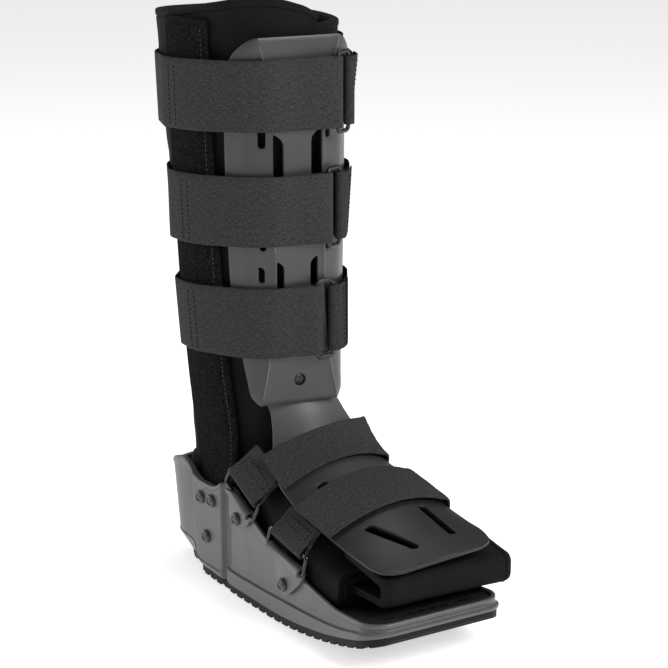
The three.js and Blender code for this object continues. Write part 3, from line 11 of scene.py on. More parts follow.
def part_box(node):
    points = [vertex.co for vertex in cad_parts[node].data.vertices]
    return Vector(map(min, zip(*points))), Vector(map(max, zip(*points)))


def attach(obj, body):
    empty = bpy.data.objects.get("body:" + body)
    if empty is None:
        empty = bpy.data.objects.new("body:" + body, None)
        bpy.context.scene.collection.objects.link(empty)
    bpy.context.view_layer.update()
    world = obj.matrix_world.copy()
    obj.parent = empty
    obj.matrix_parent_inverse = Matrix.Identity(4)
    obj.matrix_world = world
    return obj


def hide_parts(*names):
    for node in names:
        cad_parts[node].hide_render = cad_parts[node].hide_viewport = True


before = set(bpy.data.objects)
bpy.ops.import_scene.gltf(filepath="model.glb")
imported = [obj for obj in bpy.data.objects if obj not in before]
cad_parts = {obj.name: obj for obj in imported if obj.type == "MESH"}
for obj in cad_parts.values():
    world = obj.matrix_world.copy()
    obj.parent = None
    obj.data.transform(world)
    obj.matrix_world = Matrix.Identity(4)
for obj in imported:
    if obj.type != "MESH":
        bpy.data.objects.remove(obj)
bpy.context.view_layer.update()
low_in, high_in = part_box("insole")  # the insole is centred on the boot's own axes
SHIFT = np.array([(low_in[0] + high_in[0]) / 2, (low_in[1] + high_in[1]) / 2, 0.0])

# Sizes, as in the solids
GAP, WRAP_GAP = 0.35, 1.15
FOOT_LENGTH, TOE_WIDTH, HEEL_WIDTH, TOE_CORNER, HEEL_CORNER = 301, 111, 92.4, 17, 41
WALL, COUNTER_HEIGHT, FLANGE, BAND_RISE, HEEL_TUCK, RIM_WIDTH, WALL_LEAN = 2.6, 88, 3.2, 2.4, 7.5, 5, 0.068
FLOOR_HEIGHT, FLOOR_THICKNESS, SOLE_THICKNESS = 21.5, 4, 6
TOE_SPRING, HEEL_SPRING, ROCKER_START, ROCKER_END = 22, 5, 0.47, 0.78
INSOLE_THICKNESS, INSOLE_GAP, FLOOR_CLEARANCE = 5, 0.6, 0.55
BOOT_HEIGHT, LEG_WIDTH, LEG_DEPTH, LEG_FRONT_AT, FRONT_POWER, BACK_POWER = 438, 126, 156, 0.523, 2.1, 2.4
LINER_THICKNESS, LINER_LAP, FLAP_EDGE, FLAP_UNDER, LINER_FOOT_WALL = 7, 0.8, -12, 398, 5
FLAP_WIDTH, FLAP_SHIFT, FLAP_HEIGHT, FLAP_THICKNESS, FLAP_FRONT, FLAP_DEPTH = 110, 18, 23, 6.5, 0.032, 52
FLAP_ROUND, FLAP_LIFT, FLAP_SLOPE = 7, 4.3, 0.17
STAY_WIDTH, STAY_THICKNESS, STAY_GAP, STAY_AT, STAY_TOP, STAY_TOP_FAR = 50, 4, 1.1, 0.74, 422, 405
STAY_BACKSET, STAY_TAPER = 5, 0.1
PANEL_BOTTOM, PANEL_TOP, PANEL_WIDTH, PANEL_THICKNESS, PANEL_TURN = 147, 412, 114, 3, 9
PANEL_SHIFT, PANEL_FRONT, WING_BEND, PEG_DIAMETER, HOLE_DIAMETER, HOLE_HEIGHT = 8.2, 5, 28, 11, 9, 164
INSTEP_WIDTH, INSTEP_THICKNESS, INSTEP_TILT = 98, 3, 0.07
STRAP_WIDTH, STRAP_THICKNESS, STRAP_TILT, FOOT_END_WIDTH, FOOT_STRAP_THICKNESS = 50.8, 1.5, 2.7, 42, 2.2
RING_BAR, RING_THICKNESS, RING_WIDTH, RING_CLEARANCE, RING_REACH, RING_RAMP = 3.2, 2.6, 16.5, 1.2, 9.5, 14
BAND_END, FOOT_STRAP_LIFT, WIRE, BAR_OUT, FOLD_OUT, TUBE_DIAMETER = 258, 2.3, 3.2, 5, 3.2, 8
TAB_THICKNESS, TAB_GAP, END_LAP, ANCHOR_HEIGHT, RIVET_DIAMETER, RIVET_HEIGHT = 2.4, 0.8, 8, 18, 10, 2.6


# Tables and small maths
def lerp(a, b, t):
    return a + (b - a) * t


def smoothstep(x, a, b):
    t = np.clip((x - a) / (b - a), 0, 1)
    return t * t * (3 - 2 * t)


def hermite(t):
    """Weights of the start, its slope, the end and its slope on a smooth curve"""
    return 2 * t**3 - 3 * t**2 + 1, t**3 - 2 * t**2 + t, 3 * t**2 - 2 * t**3, t**3 - t**2


def arc(radius, start, end, count):
    """Points round a part of a circle, between two angles in degrees"""
    return [(radius * math.cos(a), radius * math.sin(a)) for a in np.radians(np.linspace(start, end, count))]


def circle(count, radius=1.0):
    angles = np.linspace(0, 2 * math.pi, count, endpoint=False)
    return [(radius * math.cos(a), radius * math.sin(a)) for a in angles]


def lengths(line):
    """How far along a line each of its points lies"""
    return np.concatenate([[0], np.cumsum(np.linalg.norm(np.diff(line, axis=0), axis=1))])


def follow(line, steps, at):
    """The points of a line at distances along it"""
    return np.stack([np.interp(at, steps, line[:, k]) for k in range(3)], axis=-1)


class Table:
    """Rows with named columns, read with straight lines or as smooth curves"""

    def __init__(self, names, *rows):
        self.x = np.array([row[0] for row in rows], float)
        self.columns = {n: np.array([row[i] for row in rows], float) for i, n in enumerate(names)}

    def line(self, x, name):
        return np.interp(x, self.x, self.columns[name])

    def curve(self, x, name):
        xs, ys = self.x, self.columns[name]
        h = np.diff(xs)
        d = np.diff(ys) / h
        m = np.concatenate([[d[0]], np.zeros(len(xs) - 2), [d[-1]]])
        for i in range(1, len(xs) - 1):
            if d[i - 1] * d[i] > 0:
                m[i] = 2 * d[i - 1] * d[i] / (d[i - 1] + d[i])
        x = np.clip(x, xs[0], xs[-1])
        i = np.clip(np.searchsorted(xs, x, side="right") - 1, 0, len(h) - 1)
        t = (x - xs[i]) / h[i]
        start, leave, end, arrive = hermite(t)
        return start * ys[i] + leave * h[i] * m[i] + end * ys[i + 1] + arrive * h[i] * m[i + 1]


def unit(v):
    v = np.asarray(v, float)
    return v / np.maximum(np.linalg.norm(v, axis=-1, keepdims=True), 1e-9)


def spline(points, count, loop=False):
    """Points on a smooth curve through the given ones, evenly spread along it"""
    p = np.asarray(points, float)
    if loop:
        p = np.vstack([p[-1], p, p[0], p[1]])
    else:
        p = np.vstack([2 * p[0] - p[1], p, 2 * p[-1] - p[-2]])
    fine = []
    for i in range(1, len(p) - 2):
        a, b, c, d = p[i - 1 : i + 3]
        t0 = max(np.linalg.norm(b - a), 1e-6) ** 0.5
        t1 = max(np.linalg.norm(c - b), 1e-6) ** 0.5
        t2 = max(np.linalg.norm(d - c), 1e-6) ** 0.5
        m1 = (c - b) + t1 * ((b - a) / t0 - (c - a) / (t0 + t1))
        m2 = (c - b) + t1 * ((d - c) / t2 - (d - b) / (t1 + t2))
        for t in np.linspace(0, 1, 12, endpoint=False):
            start, leave, end, arrive = hermite(t)
            fine.append(start * b + leave * m1 + end * c + arrive * m2)
    fine = np.array(fine + [p[-2]])
    steps = lengths(fine)
    return follow(fine, steps, np.linspace(0, steps[-1], count))


# Making pieces
def metres(points):
    return np.asarray(points, float) / 1000 + SHIFT


def mark_sharp(mesh, angle):
    """Smooth faces with sharp edges where two faces meet at more than an angle"""
    mesh.polygons.foreach_set("use_smooth", [True] * len(mesh.polygons))
    normals = np.empty(len(mesh.polygons) * 3)
    mesh.polygons.foreach_get("normal", normals)
    normals = normals.reshape(-1, 3)
    sharp = np.zeros(len(mesh.edges), bool)
    first = np.full(len(mesh.edges), -1)
    loops = np.empty(len(mesh.loops), int)
    mesh.loops.foreach_get("edge_index", loops)
    limit = math.cos(math.radians(angle))
    for poly in mesh.polygons:
        for k in poly.loop_indices:
            e = loops[k]
            if first[e] < 0:
                first[e] = poly.index
            elif normals[first[e]] @ normals[poly.index] < limit:
                sharp[e] = True
    attribute = mesh.attributes.get("sharp_edge") or mesh.attributes.new("sharp_edge", "BOOLEAN", "EDGE")
    attribute.data.foreach_set("value", sharp)


def add_mesh(name, points, faces, uv=None):
    mesh = bpy.data.meshes.new(name)
    mesh.from_pydata([tuple(p) for p in metres(points)], [], [tuple(int(i) for i in f) for f in faces])
    mesh.validate()
    if uv is not None:
        layer = mesh.uv_layers.new(name="weave")
        for loop in mesh.loops:
            layer.data[loop.index].uv = tuple(uv[loop.vertex_index])
    obj = bpy.data.objects.new(name, mesh)
    bpy.context.scene.collection.objects.link(obj)
    return obj


def settle(obj, angle=35):
    """Applies the modifiers and marks the sharp edges, those over an angle in degrees"""
    if obj.modifiers:
        graph = bpy.context.evaluated_depsgraph_get()
        mesh = bpy.data.meshes.new_from_object(obj.evaluated_get(graph), depsgraph=graph)
        obj.modifiers.clear()
        old = obj.data
        obj.data = mesh
        mesh.name = obj.name
        bpy.data.meshes.remove(old)
    mark_sharp(obj.data, angle)
    return obj


def dress(obj, mats, node=None, angle=35):
    """Finishes a piece: its edges, its materials and the solid that it replaces"""
    settle(obj, angle)
    for mat in mats if isinstance(mats, list) else [mats]:
        obj.data.materials.append(mat)
    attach(obj, "root")
    if node:
        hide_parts(node)
    return obj


def outward(points, faces):
    """Turns the faces round if they enclose a negative volume"""
    p = np.asarray(points, float)
    p = p - p.mean(axis=0)
    total = 0.0
    for f in faces:
        for k in range(1, len(f) - 1):
            total += np.dot(p[f[0]], np.cross(p[f[k]], p[f[k + 1]]))
    return faces if total > 0 else [tuple(reversed(f)) for f in faces]


def grid_faces(rows, columns, wrap_rows=False, wrap_columns=False, base=0):
    faces = []
    for i in range(rows if wrap_rows else rows - 1):
        for j in range(columns if wrap_columns else columns - 1):
            a, b = base + i * columns, base + (i + 1) % rows * columns
            d = (j + 1) % columns
            faces.append((a + j, b + j, b + d, a + d))
    return faces


def closed_loft(rings, around=False):
    """A closed body from rings of equally many points"""
    rings = np.asarray(rings, float)
    m, n = rings.shape[:2]
    faces = grid_faces(m, n, around, True)
    points = rings.reshape(-1, 3)
    if not around:
        faces.append(tuple(range(n - 1, -1, -1)))
        faces.append(tuple((m - 1) * n + k for k in range(n)))
    return points, outward(points, faces)


def loft(name, rings, uv=None, around=False):
    points, faces = closed_loft(rings, around)
    return add_mesh(name, points, faces, uv)


def rod(points, faces, rings):
    """Adds a thin closed body to the points and faces of a larger mesh"""
    rows, columns = len(rings), len(rings[0])
    base, last = len(points), len(points) + (rows - 1) * columns
    points += [p for ring in rings for p in ring]
    faces += grid_faces(rows, columns, False, True, base)
    faces += [tuple(base + k for k in range(columns - 1, -1, -1)), tuple(last + k for k in range(columns))]


def thicken(obj, thickness, even_offset=False):
    mod = obj.modifiers.new("thick", "SOLIDIFY")
    mod.thickness = thickness / 1000
    mod.offset = -1
    mod.use_even_offset = even_offset


def bevel(obj, width, segments=3, angle=40):
    mod = obj.modifiers.new("bevel", "BEVEL")
    mod.width = width / 1000
    mod.segments = segments
    mod.limit_method = "ANGLE"
    mod.angle_limit = math.radians(angle)
    mod.use_clamp_overlap = True


def boolean(obj, tool, operation):
    mod = obj.modifiers.new("cut", "BOOLEAN")
    mod.operation = operation
    mod.object = tool
    mod.solver = "EXACT"
    settle(obj)
    data = tool.data
    bpy.data.objects.remove(tool)
    bpy.data.meshes.remove(data)


# Foot base
HALF = FOOT_LENGTH / 2
FRONT_CENTRE = -HALF + TOE_CORNER
HEEL_CENTRE = HALF - HEEL_CORNER


def along_foot(share):
    return -HALF + share * FOOT_LENGTH


def rocker(y):
    at = (y + HALF) / FOOT_LENGTH
    toe = TOE_SPRING * np.clip((ROCKER_START - at) / ROCKER_START, 0, None) ** 2
    return toe + HEEL_SPRING * np.clip((at - ROCKER_END) / (1 - ROCKER_END), 0, None) ** 2


WALL_TABLE = Table(
    ["at", "top", "ridge", "flare", "foot", "band", "tuck", "lean"],
    [0, 0.418, 0.355, 1, 0.8, 0, 0, 0],
    [0.069, 0.406, 0.315, 1, 0.9, 0, 0, 0],
    [0.108, 0.398, 0.285, 1, 1, 0, 0, 0],
    [0.145, 0.395, 0.265, 1, 1, 0, 0, 0],
    [0.22, 0.426, 0.24, 1, 1, 0, 0, 0],
    [0.287, 0.472, 0.225, 1, 1, 0, 0, 0],
    [0.38, 0.54, 0.212, 1, 1, 0, 0, 0],
    [0.464, 0.636, 0.2, 1, 1, 0, 0, 0],
    [0.526, 0.727, 0.195, 1, 1, 0, 0, 0],
    [0.582, 0.807, 0.19, 1, 1, 0, 0, 0],
    [0.64, 0.88, 0.19, 0.9, 0.9, -0.1, 0, 0],
    [0.661, 0.918, 0.19, 0.3, 0.3, -0.5, 0, 0],
    [0.67, 0.926, 0.17, 0.1, 0, -0.4, 0, 0],
    [0.681, 0.925, 0.13, 0.85, 0.5, 0.9, 0, 0.1],
    [0.69, 0.9, 0.12, 0.9, 0.6, 1, 0, 0.1],
    [0.71, 0.868, 0.12, 0.9, 0.6, 1, 0, 0.15],
    [0.735, 0.853, 0.12, 0.9, 0.5, 1, 0.05, 0.2],
    [0.772, 0.852, 0.12, 0.9, 0.5, 1, 0.1, 0.3],
    [0.796, 0.872, 0.13, 0.9, 0.4, 1, 0.2, 0.4],
    [0.811, 0.9, 0.15, 0.9, 0.3, 1, 0.3, 0.5],
    [0.818, 0.925, 0.2, 0.6, 0, 0.6, 0.5, 0.6],
    [0.83, 0.975, 0.25, 0.5, 0, 0.6, 0.8, 0.8],
    [0.855, 1, 0.27, 0.5, 0, 0.6, 1, 1],
    [0.888, 0.977, 0.275, 0.5, 0, 0.6, 1, 1],
    [0.91, 0.945, 0.275, 0.5, 0, 0.6, 1, 1],
    [0.932, 0.903, 0.275, 0.5, 0, 0.6, 1, 1],
    [0.951, 0.864, 0.275, 0.5, 0, 0.6, 1, 1],
    [0.968, 0.847, 0.275, 0.5, 0, 0.6, 1, 1],
    [1, 0.83, 0.275, 0.5, 0, 0.6, 1, 1],
)


def wall_sizes(y):
    at = np.clip((y + HALF) / FOOT_LENGTH, 0, 1)
    get = lambda column: WALL_TABLE.curve(at, column)
    bottom = rocker(y) + SOLE_THICKNESS
    ridge = np.maximum(get("ridge") * COUNTER_HEIGHT, bottom + 1.5)
    top = get("top") * COUNTER_HEIGHT
    tuck = get("tuck") * HEEL_TUCK
    return {
        "bottom": bottom, "ridge": ridge, "top": top, "foot": get("foot") * FLANGE - tuck,
        "flare": get("flare") * FLANGE, "face": get("band") * BAND_RISE,
        "lean": get("lean") * WALL_LEAN * (top - ridge),
    }


def floor_under(y):
    return np.maximum(FLOOR_HEIGHT - FLOOR_THICKNESS + 0.4 * rocker(y), rocker(y) + SOLE_THICKNESS + 0.6)


def floor_top(y):
    return floor_under(y) + FLOOR_THICKNESS


def insole_top(y):
    return floor_top(y) + FLOOR_CLEARANCE + INSOLE_THICKNESS


def wall_half(y):
    at = np.clip((y - FRONT_CENTRE) / (HEEL_CENTRE - FRONT_CENTRE), 0, 1)
    return lerp(TOE_WIDTH, HEEL_WIDTH, at) / 2


def outline():
    """The wall's outline: right side from toe to heel, then the left side back; (x, y, nx, ny)"""
    right = [(-x, -HALF, 0, -1) for x in np.linspace(0, TOE_WIDTH / 2 - TOE_CORNER, 9)[:-1]]
    for c, s in arc(1, 270, 180, 15):
        right.append((TOE_CORNER - TOE_WIDTH / 2 + TOE_CORNER * c, FRONT_CENTRE + TOE_CORNER * s, c, s))
    ys = set(np.linspace(FRONT_CENTRE, HEEL_CENTRE, 70)[1:-1])
    ys |= {along_foot(s) for s in np.arange(0.635, 0.86, 0.0025)}  # closer together at the raised band
    right += [(-wall_half(y), y, -1, 0) for y in sorted(y for y in ys if y < HEEL_CENTRE - 0.5)]
    for c, s in arc(1, 180, 90, 30):
        right.append((HEEL_CORNER - HEEL_WIDTH / 2 + HEEL_CORNER * c, HEEL_CENTRE + HEEL_CORNER * s, c, s))
    right += [(-(HEEL_WIDTH / 2 - HEEL_CORNER) * (1 - t), HALF, 0, 1) for t in (0.5, 1)]
    left = [(-x, y, -nx, ny) for x, y, nx, ny in right[1:-1]][::-1]
    return np.array(right + left), len(right)


def foot_ring(stations, offset, height):
    """The wall's outline moved outward, at a height that depends on y"""
    x = stations[:, 0] + stations[:, 2] * offset
    y = stations[:, 1] + stations[:, 3] * offset
    return np.stack([x, y, height(y)], axis=1)


def foot_loft(name, rings, right):
    """A body from rings along the wall, closed from side to side at its first and last ring"""
    points = np.stack(rings, axis=1)
    count, n = points.shape[:2]
    faces = grid_faces(count, n, wrap_rows=True)
    for i in range(right - 1):
        corners = (i, i + 1, (count - i - 1) % count, (count - i) % count)
        for column in (n - 1, 0):
            quad = tuple(dict.fromkeys(q * n + column for q in corners))
            faces.append(quad if column else quad[::-1])
    points = points.reshape(-1, 3)
    return add_mesh(name, points, outward(points, faces))


def base_shell():
    """The shell from a section that changes along the foot: floor, sole rim, flange, wall and inner face"""
    stations, right = outline()
    w = wall_sizes(stations[:, 1])
    out = w["face"] + w["lean"]
    low = lambda y: rocker(y) + SOLE_THICKNESS
    keep = lambda value: (lambda y: value)
    flare = np.maximum(w["flare"], w["foot"])
    lip = 0.75
    step = np.minimum(1.0, (w["ridge"] - w["bottom"]) * 0.4)
    chain = [(w["foot"] - RIM_WIDTH, floor_under), (w["foot"] - RIM_WIDTH, low)]
    chain += [(w["foot"] - 0.6, low), (w["foot"], keep(w["bottom"] + 0.6)), (flare, keep(w["ridge"] - step))]
    chain += [(flare - 0.25, keep(w["ridge"] - 0.25 * step)), (flare - 0.9, keep(w["ridge"] + 0.15))]
    for t in (0.25, 0.5, 0.75, 1.0):
        across = (1 - t) ** 2.2
        chain.append((lerp(w["face"], flare - 0.9, across), keep(w["ridge"] + 0.15 + 3.6 * t**1.8)))
    for t in (0.15, 0.35, 0.55, 0.75, 0.92):
        chain.append((lerp(w["face"], out, t), keep(lerp(w["ridge"] + 3.75, w["top"] - 4.2, t))))
    for a, b in ((0, 4.2), (0.5, 3.4), (0.95, 2.6), (1, 1.7), (0.8, 0.8), (0.2, 0.15)):
        chain.append((out + lip * a, keep(w["top"] - b)))
    chain += [(w["lean"] - WALL + 0.9, keep(w["top"] - 0.1)), (w["lean"] - WALL + 0.2, keep(w["top"] - 0.7))]
    for t in (0.06, 0.4, 0.75, 1):
        chain.append((lerp(w["lean"], 0, t) - WALL, lambda y, t=t: lerp(w["top"] - 1.4, floor_top(y), t)))
    return foot_loft("foot_base", [foot_ring(stations, *step) for step in chain], right)


def pad(name, inset, low, high, soften):
    """A flat pad inside the wall, with softened edges and a groove round its side"""
    stations, right = outline()
    ring = lambda extra, height: foot_ring(stations, -(inset + extra), height)
    rings = [ring(0.5, low), ring(0, lambda y: low(y) + 0.5)]
    mid = lambda y, t: lerp(low(y) + 0.5, high(y) - soften, t)
    for t, e in ((0.28, 0.05), (0.34, 0.5), (0.4, 0.5), (0.46, 0.05), (0.7, 0), (1, 0.1)):
        rings.append(ring(e, lambda y, t=t: mid(y, t)))
    for c, s in arc(1, 30, 90, 3):
        rings.append(ring(soften * (1 - c) + 0.1, lambda y, s=s: high(y) - soften * (1 - s)))
    rings += [ring(extra, high) for extra in (4, 8, 12.5)]
    return foot_loft(name, rings, right)


# Leg
SHIN_Y = along_foot(LEG_FRONT_AT)
LEG_TABLE = Table(
    ["at", "half", "front", "back"],
    [0.192, 0.308, 0.125, 0.865],
    [0.251, 0.33, 0.115, 0.86],
    [0.342, 0.38, 0.104, 0.825],
    [0.477, 0.431, 0.092, 0.805],
    [0.662, 0.458, 0.084, 0.88],
    [0.78, 0.468, 0.08, 0.95],
    [0.88, 0.475, 0.078, 0.99],
    [1, 0.49, 0.078, 1.005],
)


def leg_size(z, smooth=False):
    get = LEG_TABLE.curve if smooth else LEG_TABLE.line
    at = np.asarray(z, float) / BOOT_HEIGHT
    front = SHIN_Y + get(at, "front") * LEG_DEPTH
    back = SHIN_Y + get(at, "back") * LEG_DEPTH
    return get(at, "half") * LEG_WIDTH, (back - front) / 2, (back + front) / 2


def leg_point(z, degrees, offset=0.0, smooth=False):
    half, depth, middle = leg_size(z, smooth)
    s, c = np.sin(np.radians(degrees)), np.cos(np.radians(degrees))
    power = 2 / np.where(c > 0, FRONT_POWER, BACK_POWER)
    x = -half * np.sign(s) * np.abs(s) ** power
    y = -depth * np.sign(c) * np.abs(c) ** power
    n = unit(np.stack(np.broadcast_arrays(x / half**2, y / depth**2), axis=-1))
    return np.stack(np.broadcast_arrays(x + n[..., 0] * offset, middle + y + n[..., 1] * offset, z), axis=-1)


TOP_TABLE = Table(
    ["at", "height"],
    [-12, 0.972], [0, 0.987], [20, 0.999], [36, 1], [60, 0.991], [100, 0.971], [143, 0.961], [180, 0.957],
    [270, 0.952], [330, 0.95], [350, 0.942], [398, 0.93],
)
LINER_BOTTOM = COUNTER_HEIGHT - 4


def liner_offset(degrees):
    return -smoothstep(degrees, 296, 338) * (LINER_THICKNESS + LINER_LAP)


def ripple(a, b, seed):
    """A small smooth unevenness, from 0 to 1"""
    v = np.sin(a * 1.7 + seed) * np.sin(b * 2.3 + seed * 1.3) + 0.6 * np.sin(a * 3.9 + b * 2.9 + seed * 2.1)
    return 0.5 + v / 3.2


def groove(x, middle, width):
    """A bell shape from 0 to 1 and back"""
    return np.exp(-(((x - middle) / width) ** 2))


RIM, RIM_SEAM = 2.0, 6.0  # the bound edge's roundness, and how far below the top its seam lies


def liner_calf():
    """The wrap from the flap's edge round to the lower end: outer face, bound rim and inner face"""
    front, side = np.linspace(FLAP_EDGE, 30, 22)[:-1], np.linspace(30, 338, 120)
    rows = []
    for a in np.concatenate([front, side, np.linspace(338, FLAP_UNDER, 26)[1:]]):
        top = float(TOP_TABLE.curve(a, "height")) * BOOT_HEIGHT
        base = float(liner_offset(a))
        near_seam = top - np.array([8.2, 7.4, 6.6, 6.0, 5.6, 5.2, 4.4, 3.4, 2.4])
        z = np.concatenate([np.linspace(LINER_BOTTOM, top - 9, 56), near_seam])
        t = top - z
        puff = -1.0 * ripple(z / 17, math.radians(a) * 5.5, 0.4) * smoothstep(t, 4, 14)
        seam = -0.85 * groove(t, RIM_SEAM, 0.55) + 0.35 * smoothstep(RIM_SEAM + 1 - t, 0, 2.0)
        outer = leg_point(z, a, base + puff + seam)
        r = LINER_THICKNESS / 2
        turn = np.radians(np.linspace(22, 158, 8))
        rim = [leg_point(top - RIM + RIM * math.sin(q), a, base - r + (r + 0.35) * math.cos(q)) for q in turn]
        z, t = z[::-1], t[::-1]
        puff = 0.9 * ripple(z / 21, math.radians(a) * 4.5, 2.4) * smoothstep(t, 4, 14)
        seam = 0.9 * groove(t, RIM_SEAM, 0.6) - 0.3 * smoothstep(RIM_SEAM + 1 - t, 0, 2.0)
        rows.append(np.vstack([outer, rim, leg_point(z, a, base - LINER_THICKNESS + puff + seam)]))
    return loft("liner", rows)


# Stays under their fuzzy covers
STAY_Y = along_foot(STAY_AT)


def stay_across(z, shares=(-0.5, -0.25, 0, 0.25, 0.5)):
    high = smoothstep(z, STAY_TOP * 0.45, STAY_TOP)
    width = STAY_WIDTH * (1 - STAY_TAPER * high)
    return [STAY_Y + STAY_BACKSET * high + share * width for share in shares]


def stay_inner(z, y):
    flat = float(wall_half(STAY_Y + STAY_WIDTH / 2)) - WALL - GAP - STAY_THICKNESS
    half, depth, middle = (float(v) for v in leg_size(z))
    power = FRONT_POWER if y < middle else BACK_POWER
    reach = float(np.clip(1 - abs((y - middle) / depth) ** power, 0, 1)) ** (1 / power)
    on_leg = half * reach + STAY_GAP
    blend = float(smoothstep(z, COUNTER_HEIGHT - 2, COUNTER_HEIGHT + 75))
    return max(lerp(flat, on_leg, blend), on_leg if z > COUNTER_HEIGHT else 0)


def stay_cover(name, top, side):
    """One cover with a sewn hem along both edges and padding between them; gives its rings too"""
    edge = max(float(insole_top(STAY_Y - STAY_WIDTH / 2)), float(insole_top(STAY_Y + STAY_WIDTH / 2)))
    bottom = edge + FLOOR_CLEARANCE
    shares = np.linspace(-0.5, 0.5, 23)
    rings = []
    for z in np.concatenate([[bottom], np.linspace(bottom + 0.8, top - 0.8, 90), [top]]):
        last = z in (bottom, top)
        ys = stay_across(z, shares * (0.975 if last else 1))
        inner = np.array([stay_inner(z, y) for y in ys])
        inner = np.convolve(np.pad(inner, 2, mode="edge"), np.ones(5) / 5, mode="valid")
        reach = np.clip((0.5 - np.abs(shares)) * STAY_WIDTH, 0, None)
        crown = 1 - np.exp(-reach / 1.1)
        hem = 0.55 * groove(reach, 4.0, 0.7)
        lift = STAY_THICKNESS * (0.5 + 0.5 * crown) - hem + 0.35 * smoothstep(reach, 4.5, 9)
        lift = lift * 0.6 if last else lift
        outer = [(side * (i + l), y, z) for i, l, y in zip(inner, lift, ys)]
        under = [(side * (i + 0.3 * STAY_THICKNESS * (1 - c)), y, z) for i, c, y in zip(inner, crown, ys)][::-1]
        rings.append(outer + under)
    return loft(name, rings), rings


# Panels
PANEL_TABLE = Table(
    ["at", "crease", "edge"],
    [0, 0.259, 0.275], [0.023, 0.25, 0.333], [0.068, 0.228, 0.36], [0.155, 0.197, 0.404], [0.355, 0.167, 0.474],
    [0.755, 0.164, 0.5], [0.88, 0.195, 0.491], [0.925, 0.228, 0.474], [0.955, 0.246, 0.439], [0.977, 0.259, 0.386],
    [0.992, 0.264, 0.333], [1, 0.268, 0.285],
)
CREASE_RIDGE, CREASE_WIDTH = 0.45, 0.9


def panel_share(z):
    return (z - PANEL_BOTTOM) / (PANEL_TOP - PANEL_BOTTOM)


def crease_at(z):
    return float(PANEL_TABLE.curve(panel_share(z), "crease")) * PANEL_WIDTH


def panel_marks(z):
    """Where the panel bends at a height, measured across it, and its edges"""
    crease = float(PANEL_TABLE.line(panel_share(z), "crease")) * PANEL_WIDTH
    edge = float(PANEL_TABLE.line(panel_share(z), "edge")) * PANEL_WIDTH
    return [-edge, -(crease + edge) / 2, -crease, crease, (crease + edge) / 2, edge]


def panel_point(z, along, depth=0.0, soft=0.8):
    """A point of the panel's outer face; the creases are rounded over a short way"""
    crease = crease_at(z)
    middle = (crease + float(PANEL_TABLE.curve(panel_share(z), "edge")) * PANEL_WIDTH) / 2
    s = np.linspace(0, abs(along), 120)
    bend = np.radians(WING_BEND) * (smoothstep(s, crease - soft, crease + soft) + smoothstep(s, middle - 8, middle + 8))
    step = abs(along) / 119 if along else 0
    depth = depth - CREASE_RIDGE * math.exp(-(((abs(along) - crease) / CREASE_WIDTH) ** 2))
    x = np.sum((np.cos(bend[1:]) + np.cos(bend[:-1])) / 2) * step
    y = np.sum((np.sin(bend[1:]) + np.sin(bend[:-1])) / 2) * step
    x -= depth * math.sin(bend[-1])
    y += depth * math.cos(bend[-1])
    side = -1 if along < 0 else 1
    c, d = math.cos(math.radians(PANEL_TURN)), math.sin(math.radians(PANEL_TURN))
    return np.array([-PANEL_SHIFT + side * x * c + y * d, SHIN_Y + PANEL_FRONT - side * x * d + y * c, z])


PLATE_ROUNDING, PLATE_CORNER = 0.7, 2.5


def flat_plate(name, border, holes, mapped, step, thickness, extra=()):
    """A plate: a flat outline with holes, meshed and mapped onto its curved face, then made solid. The mesh takes
    the extra points as well"""
    border, holes = np.asarray(border, float), [np.asarray(h, float) for h in holes]
    points = [Vector(p) for p in border]
    loops = [list(range(len(points)))]
    for hole in holes:
        start = len(points)
        points += [Vector(p) for p in hole]
        loops.append(list(range(start, len(points))))
    low, high = border.min(axis=0), border.max(axis=0)

    def inside(p, loop):
        x, y = p
        hit = False
        for i in range(len(loop)):
            (x1, y1), (x2, y2) = loop[i], loop[(i + 1) % len(loop)]
            if (y1 > y) != (y2 > y) and x < (x2 - x1) * (y - y1) / (y2 - y1) + x1:
                hit = not hit
        return hit

    def near(p, loop):
        a, b = loop, np.roll(loop, -1, axis=0)
        d = b - a
        t = np.clip(((p - a) * d).sum(axis=1) / np.maximum((d * d).sum(axis=1), 1e-9), 0, 1)
        return np.min(np.linalg.norm(a + d * t[:, None] - p, axis=1))

    for x in np.arange(low[0] + step / 2, high[0], step):
        for y in np.arange(low[1] + step / 2, high[1], step):
            p = np.array([x, y])
            if inside(p, border) and near(p, border) > step * 0.45:
                if not any(inside(p, h) or near(p, h) < step * 0.45 for h in holes):
                    if len(extra) == 0 or np.min(np.linalg.norm(extra - p, axis=1)) > step * 0.5:
                        points.append(Vector(p))
    for p in extra:
        if inside(p, border) and near(p, border) > 0.5 and not any(inside(p, h) or near(p, h) < 0.5 for h in holes):
            points.append(Vector(p))
    found = delaunay_2d_cdt(points, [], loops, 0, 1e-6)
    flat, faces = found[0], found[2]
    kept = []
    for f in faces:
        c = np.mean([flat[i] for i in f], axis=0)
        if inside(c, border) and not any(inside(c, h) for h in holes):
            kept.append(tuple(f))
    shaped = np.array([mapped(p[0], p[1]) for p in flat])
    obj = add_mesh(name, shaped, kept)
    n = obj.data.polygons[len(kept) // 2].normal
    if n.y > 0 or (abs(n.y) < 0.2 and n.z < 0):
        obj.data.flip_normals()
    thicken(obj, thickness, even_offset=True)
    bevel(obj, PLATE_ROUNDING)
    return obj


def rounded_outline(points, radius, steps=5):
    """A polygon with its corners rounded"""
    p = np.asarray(points, float)
    result = []
    for i in range(len(p)):
        a, b, c = p[i - 1], p[i], p[(i + 1) % len(p)]
        u, v = a - b, c - b
        r = min(radius, 0.45 * np.linalg.norm(u), 0.45 * np.linalg.norm(v))
        s, e = b + unit(u) * r, b + unit(v) * r
        for t in np.linspace(0, 1, steps):
            result.append((1 - t) ** 2 * s + 2 * t * (1 - t) * b + t * t * e)
    return np.array(result)


